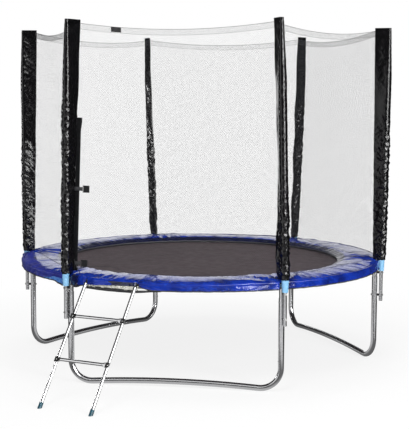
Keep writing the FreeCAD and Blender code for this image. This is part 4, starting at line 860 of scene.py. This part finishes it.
def skirt_low(angle):
    """Lower edge of the skirt; it is hitched up between the ladder's hooks and hangs lower at post 1."""
    hitch = nearest(angle, [LADDER_ANGLE])
    raised = smooth(hitch, -HOOK_SPREAD - 0.5, -HOOK_SPREAD + 0.4)
    raised *= smooth(HOOK_SPREAD + 4.6 - hitch, 0.0, 5.0)
    high = lerp(0.654, 0.6655, smooth(hitch, -8.0, 5.0))
    wave = 0.0022 * noise.noise(Vector((angle * 0.21, 2.0, 5.0)))
    wave += 0.0010 * noise.noise(Vector((angle * 0.9, 1.0, 7.0)))
    hanging = 0.018 * bell(angle, 240.4, 1.8)
    hanging += 0.020 * smooth(angle, 230.0, 235.0) * (1 - smooth(angle, 236.0, 238.5))
    return lerp(SKIRT_BOTTOM + 0.001 - hanging, high, raised) + wave


def skirt_bulge(angle):
    """How far the skirt stands out beyond its usual place."""
    round_pole = 0.036 * bell(angle, 183.6, 3.4) + 0.010 * bell(angle, 192.0, 7.0)
    hitched = 0.009 * bell(angle, 248.0, 3.2) - 0.004 * bell(angle, 257.5, 3.0)
    return round_pole + hitched


def film_kind(angle, t):
    """Material of the skirt: 0 film, 2 painted shade in darker navy at the posts and in folds beside post 1
    and between the hooks, 3 painted highlight in lighter blue left of post 1, 4 dull.
    """
    post = nearest(angle, POST_ANGLES)
    edge = 0.7 * noise.noise(Vector((angle * 0.8, t * 3.0, 4.4)))
    # Painted highlight: lighter blue on the lower skirt left of post 1
    if -135.0 < angle - 360 < -125.2 and t > 0.55 - 0.45 * smooth(angle - 360, -134.0, -128.0):
        return 3
    # Painted shade in darker navy in the gathers at each post
    if abs(post) < 1.4 + edge:
        return 2
    # Painted shade in darker navy in the folds right of post 1 and in the right part between the ladder's
    # hooks
    shade_right_of_post_1 = -122.4 + edge < angle - 360 < -118.9 + edge
    shade_between_hooks = -107.6 + 1.5 * t + edge < angle - 360 < -98.6 + edge and t > -0.2
    if shade_right_of_post_1 or shade_between_hooks:
        return 2
    return 4 if is_dull(angle, RAIL_CIRCLE + 0.03) else 0


# Radius and height of the film's rows over the shoulder, then the rows down its hanging part
SKIRT_ROLL = ((1.2365, 0.6950), (1.2440, 0.6920), (1.2492, 0.6872), (1.2518, 0.6810))
SKIRT_DROPS = 11
SKIRT_REACH = 1.2545
SKIRT_SKIN = 0.0008


def skirt_depth(angle, t, post):
    """How far the hanging film stands out at a share of the way down."""
    u = math.radians(angle) * 1.25
    slant = u + 0.06 * t * math.sin(u * 5.0)
    fold = 0.6 * noise.noise(Vector((slant * 6.5, t * 0.8, 1.3)))
    fold += 0.4 * noise.noise(Vector((slant * 15.0, t * 1.5, 5.1)))
    crease = ridge(slant * 10.0 + t * 0.9, t * 0.7, 9.9, 3.0)
    crease += 0.6 * ridge(slant * 24.0 - t * 0.8, t, 2.9, 3.0)
    depth = 0.0042 * fold * t + 0.0050 * bell(post, 0, 4.2) * math.sin(post * 2.3) * t
    depth -= 0.0042 * crease * (0.4 + 0.6 * t)
    return depth - 0.0045 * bell(angle, 294.0, 5.5) * (1 - smooth(t, 0.05, 0.65))


def make_skirt(paints):
    """Film that rolls over the pad's shoulder and hangs over the rail, gathered at the poles."""
    verts = []
    columns = 1440
    shoulder, hang = SKIRT_ROLL[-1]
    for i in range(columns):
        angle = 360 * i / columns
        post = nearest(angle, POST_ANGLES)
        hook = nearest(angle, HOOK_ANGLES)
        low = skirt_low(angle)
        place = turned(angle)
        wrapped = bell(angle, 184.0, 2.6)
        tuck = (1 - smooth(abs(post), 0.75, 1.5)) * 0.022 * (1 - smooth(wrapped, 0.1, 0.5))
        tuck += (1 - smooth(abs(hook), 0.30, 0.65)) * 0.010
        bulge = skirt_bulge(angle)
        column = []
        for j, (r, z) in enumerate(SKIRT_ROLL):
            share = (j + 1) / len(SKIRT_ROLL)
            lift = pad_folds(angle, r) * (0.9 - 0.6 * share)
            column.append((r + bulge * share - tuck, z + lift + 0.0012 * (1 - share)))
        for j in range(1, SKIRT_DROPS + 1):
            t = j / SKIRT_DROPS
            hem = SKIRT_SKIN if t > 0.84 else 0.0
            reach = min(shoulder + skirt_depth(angle, t, post), SKIRT_REACH)
            column.append((reach + hem + bulge - tuck, lerp(hang, low, t)))
        verts += [place @ Vector((r, 0, z)) for r, z in column]
        for k, (r, z) in reversed(list(enumerate(column))):
            verts.append(place @ Vector((r - 2 * SKIRT_SKIN, 0, z - (0.0012 if k < 3 else 0.0))))
    rows = len(SKIRT_ROLL) + SKIRT_DROPS
    faces = closed_ring_faces(columns, 2 * rows)
    skirt = piece("pad_skirt_cloth", verts, faces, paints["hung"], "skirt_fabric")
    for kind in ("webbing", "painted_shade", "painted_highlight", "dull"):
        skirt.data.materials.append(paints[kind])
    for poly in skirt.data.polygons:
        column = [v % (2 * rows) for v in poly.vertices]
        angle = 360 * (min(poly.vertices) // (2 * rows)) / columns
        hitched = abs(nearest(angle, [LADDER_ANGLE])) < HOOK_SPREAD
        if rows - 3 <= min(column) and max(column) <= rows + 1 and not hitched:
            poly.material_index = 1
        elif max(column) < rows:
            poly.material_index = film_kind(angle, (min(column) - len(SKIRT_ROLL)) / SKIRT_DROPS)
    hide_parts("pad_skirt")


# Name, material, angles of both ends and radius of what hangs on under the rail at the ladder
HITCHED = (("lining", "lining", -115.6, -98.6, 1.2478), ("tape", "webbing", -115.9, -92.0, 1.2488))


def make_hitched_hem(paints):
    """Pale lining and dark hem tape where the skirt is hitched up."""
    steps, rows = 60, 5
    for name, paint, start, end, out in HITCHED:
        verts = []
        for i in range(steps + 1):
            t = i / steps
            angle = lerp(start, end, t)
            along = (angle + 115.9) / 23.9
            top = lerp(0.6405, 0.6450, smooth(along, 0.0, 0.25)) - 0.005 * bell(along, 0.66, 0.12)
            bottom = lerp(0.6262, 0.6232, smooth(along, 0.0, 0.3))
            bottom = lerp(bottom, 0.6370, smooth(along, 0.62, 1.0))
            if name == "lining":
                top, bottom = lerp(0.6560, 0.6660, t), top - 0.003
            r = out + 0.0012 * math.sin(i * 0.7)
            levels = [lerp(top, bottom, j / (rows - 1)) for j in range(rows)]
            section = [(r, z) for z in levels] + [(r - 0.0014, z) for z in reversed(levels)]
            verts += [turned(angle) @ Vector((x, 0, z)) for x, z in section]
        faces = grid_faces(steps + 1, 2 * rows, True)
        faces.append(tuple(range(2 * rows)))
        faces.append(tuple(steps * 2 * rows + j for j in reversed(range(2 * rows))))
        piece(f"hitched_{name}", verts, faces, paints[paint], "skirt_fabric")


# Door: flap, straps and label

FRONT_PANEL = Panel(0, LEG_HALF_ANGLE, 1)
FLAP_WIDTH = 0.028
FLAP_TOP = 0.962
FLAP_SKIN = 0.0010
LABEL_SKIN = 0.0008
BUCKLES = (("upper", 0.520), ("lower", 0.052))
# From the edge and out from the net: a buckle's strap; from the edge, up it and out: the tie
STRAP_LINE = ((-0.004, 0.0075), (0.010, 0.0088), (0.028, 0.0092), (0.046, 0.0086), (0.0555, 0.0078))
TIE_LINE = ((0.010, 0.075, 0.010), (0.026, 0.040, 0.016), (0.044, 0.008, 0.020), (0.058, -0.012, 0.019))


def door_point(x, y, out):
    """Point near the front panel's left edge: x from the edge, y up the edge, out from the net's plane."""
    panel = FRONT_PANEL
    foot = Vector((-panel.low, -panel.low_out, NET_BOTTOM))
    up = (Vector((-panel.high, -panel.high_out, NET_TOP)) - foot).normalized()
    normal = Vector((0, -1, 0))
    normal = (normal - up * normal.dot(up)).normalized()
    return turned(0) @ (foot + up.cross(normal) * x + up * y + normal * out)


def make_flap(paints):
    """Flap over the zip, with its stitched edges."""
    rows, columns = 120, 9

    def flap_point(i, j, depth):
        y = lerp(0.002, FLAP_TOP, i / (rows - 1))
        t = j / (columns - 1)
        bulge = smooth(y, FLAP_TOP - 0.09, FLAP_TOP - 0.02)
        x = lerp(0.0015, 0.0045 + FLAP_WIDTH + 0.006 * bulge, t)
        ripple = 0.0012 * noise.noise(Vector((x * 30, y * 9, 1.0)))
        return door_point(x, y, 0.0030 + 0.0012 * math.sin(math.pi * t) + ripple - depth)

    skin = double_skin(rows, columns, flap_point, FLAP_SKIN)
    flap = piece("zip_flap", *skin, paints["strip"], "zip_fabric")
    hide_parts("door_zip")

    verts, faces = [], []
    for side in (0.0055, 0.0295):
        for k in range(150):
            y = 0.010 + k * 0.0063
            line = [door_point(side, y + d, 0.0046) for d in (0, 0.0016, 0.0032)]
            tube_along(line, 0.0003, 4, verts, faces)
    piece("flap_stitches", verts, faces, paints["thread"], "zip_fabric")


def make_straps(paints):
    """Straps of the buckles, and the tie beside the lower one."""
    for name, y in BUCKLES:
        verts, faces = [], []
        line = [door_point(x, y, out) for x, out in STRAP_LINE]
        band_along(line, [Vector((0, -1, 0))] * len(line), 0.012, 0.0009, verts, faces)
        strap = piece(f"strap_{name}", verts, faces, paints["webbing"], "zip_fabric", body=None)
        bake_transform(strap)
    verts, faces = [], []
    tube_along([door_point(*place) for place in TIE_LINE], 0.0022, 8, verts, faces)
    piece("door_tie", verts, faces, paints["webbing"], "zip_fabric")


def make_label(paints):
    """Small bare label on the front hem."""
    rows, columns = 5, 9

    def label_point(i, j, depth):
        u = lerp(-0.660, -0.555, j / (columns - 1))
        level = FRONT_PANEL.top(u) - lerp(0.032, 0.002, i / (rows - 1))
        return FRONT_PANEL.at(u, level, 0.0032 + 0.0006 * math.sin(j * 0.9) + 0.0004 * i - depth)

    skin = double_skin(rows, columns, label_point, LABEL_SKIN)
    piece("bare_label", *skin, paints["label"], "net_hem")


# Floor, backdrop and light. The room's values are what glossy surfaces mirror from each side of it.

WHITE = (1, 1, 1, 1)
FLOOR_SIZE = 60.0
FLOOR_HEIGHT = -0.0015
FLOOR_COLOR = (0.86, 0.86, 0.86, 1)
FLOOR_GLOW = 0.84
FLOOR_MIRRORED = 0.60
FLOOR_MIRRORED_FAR = 0.16
VIEW_SIDE = (-0.1594, 0.9872, 0.0)
VIEW_ACROSS = (0.9872, 0.1594, 0.0)
ROOM_FLOOR = 0.9
ROOM_HORIZON = 0.05
ROOM_CEILING = 0.90
ROOM_SIDES = 0.03
ROOM_LIGHT = 0.45
ROOM_CARD = 1.0
CARD_SIDE = (-0.755, -0.656, 0.0)
CARD_ACROSS = (0.656, -0.755, 0.0)
ROOM_WINDOWS = 7.0
WINDOWS_SIDE = (0.766, -0.643, 0.0)
# Lamps over a height aim down at the object, the others stay level
LAMP_HIGH = 3.0
LAMP_AIM_HEIGHT = 1.0

# Name, place, width, height, watts, seen by matte surfaces, seen by glossy ones
LAMPS = (
    ("key", (4.9, -5.0, 2.9), 1.6, 4.4, 360.0, True, False),
    ("front", (-1.2, -6.8, 7.6), 3.0, 3.0, 330.0, True, False),
    ("top", (0.0, 0.6, 7.0), 2.4, 2.4, 120.0, True, False),
    ("window_right", (4.9, -5.0, 2.4), 2.8, 3.6, 510.0, False, True),
    ("strip_left", (-6.4, 1.6, 1.6), 0.35, 1.3, 32.0, False, True),
)


def make_floor():
    """Pale floor that fades to plain white away from the object; mirrored only near the object."""
    mesh = bpy.data.meshes.new("floor")
    corners = [(x * FLOOR_SIZE, y * FLOOR_SIZE, 0) for x, y in ((-1, -1), (1, -1), (1, 1), (-1, 1))]
    mesh.from_pydata(corners, [], [(0, 1, 2, 3)])
    floor = bpy.data.objects.new("floor", mesh)
    scene.collection.objects.link(floor)
    floor.location.z = FLOOR_HEIGHT
    material = bpy.data.materials.new("floor")
    material.use_nodes = True
    tree = material.node_tree
    tree.nodes.clear()
    place = add_node(tree, "TexCoord").outputs["Object"]
    away = add_node(tree, "VectorMath", {0: place}, operation="LENGTH").outputs["Value"]
    path = add_node(tree, "LightPath").outputs
    glossy = path["Is Glossy Ray"]
    dimmed = math_node(tree, "MULTIPLY", glossy,
                       eased(tree, away, 0.95, 1.20, 1.0 - FLOOR_MIRRORED, 1.0 - FLOOR_MIRRORED_FAR))
    strength = math_node(tree, "SUBTRACT", 1.0, dimmed)
    matte = add_node(tree, "BsdfDiffuse", {"Color": FLOOR_COLOR}).outputs[0]
    glow = add_node(tree, "Emission", {"Color": WHITE, "Strength": strength}).outputs[0]
    seen = math_node(tree, "MULTIPLY", path["Is Camera Ray"], eased(tree, away, 1.6, 3.6, FLOOR_GLOW, 1.0))
    lit = {0: math_node(tree, "MAXIMUM", seen, glossy), 1: matte, 2: glow}
    far = {0: math_node(tree, "MULTIPLY", glossy, eased(tree, away, 1.5, 2.1, 0.0, 1.0)),
           1: add_node(tree, "MixShader", lit).outputs[0],
           2: add_node(tree, "BsdfTransparent").outputs[0]}
    add_node(tree, "OutputMaterial", {"Surface": add_node(tree, "MixShader", far).outputs[0]})
    mesh.materials.append(material)


def make_world():
    """White studio; glossy surfaces mirror a dark room with backdrop, floor, ceiling, card and windows."""
    world = bpy.data.worlds.new("studio")
    scene.world = world
    world.use_nodes = True
    tree = world.node_tree
    tree.nodes.clear()
    place = add_node(tree, "TexCoord").outputs["Generated"]

    def along(axis):
        return add_node(tree, "VectorMath", {0: place, 1: axis}, operation="DOT_PRODUCT").outputs["Value"]

    def aside(axis):
        return add_node(tree, "Math", {0: along(axis)}, operation="ABSOLUTE").outputs[0]

    def ease(*values):
        return eased(tree, *values)

    def times(*values):
        return math_node(tree, "MULTIPLY", *values)

    def most(*values):
        return math_node(tree, "MAXIMUM", *values)

    toward = along(VIEW_SIDE)
    height = along((0.0, 0.0, 1.0))
    backdrop = times(ease(aside(VIEW_ACROSS), 0.28, 0.44, 1.0, 0.0), ease(height, 0.30, 0.48, 1.0, 0.0),
                     ease(toward, 0.1, 0.3, 0.0, 1.0))
    lit_floor = times(ease(height, -0.195, -0.150, ROOM_FLOOR, 0.0), ease(height, -0.42, -0.30, 0.3, 1.0))
    level = most(lit_floor, ROOM_HORIZON, ease(height, 0.38, 0.58, ROOM_HORIZON, ROOM_CEILING))
    front = times(ease(toward, -0.60, -0.36, 1.0, 0.0), level)
    card = times(ease(along(CARD_SIDE), 0.35, 0.50, 0.0, ROOM_CARD),
                 ease(aside(CARD_ACROSS), 0.20, 0.30, 1.0, 0.0),
                 ease(height, -0.50, -0.40, 0.0, 1.0), ease(height, 0.56, 0.66, 1.0, 0.0))
    windows = times(ease(height, 0.22, 0.32, 0.0, ROOM_WINDOWS), ease(height, 0.50, 0.62, 1.0, 0.0),
                    ease(along(WINDOWS_SIDE), 0.68, 0.80, 0.0, 1.0))
    room = most(backdrop, front, card, ROOM_SIDES, windows)
    path = add_node(tree, "LightPath").outputs
    glossy = path["Is Glossy Ray"]
    plain = most(path["Is Camera Ray"], path["Is Transmission Ray"])
    others = math_node(tree, "SUBTRACT", 1.0, most(plain, glossy))
    total = math_node(tree, "ADD", most(plain, times(glossy, room)), times(others, ROOM_LIGHT))
    shell = add_node(tree, "Background", {"Color": WHITE, "Strength": total})
    add_node(tree, "OutputWorld", {"Surface": shell.outputs[0]})


def make_lamps():
    for name, place, width, height, watts, matte, glossy in LAMPS:
        data = bpy.data.lights.new(name, "AREA")
        data.shape = "RECTANGLE"
        data.size = width
        data.size_y = height
        data.energy = watts
        lamp = bpy.data.objects.new(name, data)
        scene.collection.objects.link(lamp)
        lamp.location = place
        lamp.rotation_mode = "QUATERNION"
        aim = Vector((0, 0.25, LAMP_AIM_HEIGHT if place[2] > LAMP_HIGH else place[2]))
        lamp.rotation_quaternion = (aim - Vector(place)).to_track_quat("-Z", "Y")
        lamp.visible_camera = False
        lamp.visible_diffuse = matte
        lamp.visible_glossy = glossy


make_camera()
paints = make_materials()
dress_nodes(paints)
for post_number in POSTS:
    make_sleeve(post_number, paints)
for make in (make_net, make_mat, make_mat_seams, make_springs, make_pad, make_skirt, make_hitched_hem,
             make_flap, make_straps, make_label):
    make(paints)
make_floor()
make_world()
make_lamps()
scene.view_settings.view_transform = "Standard"
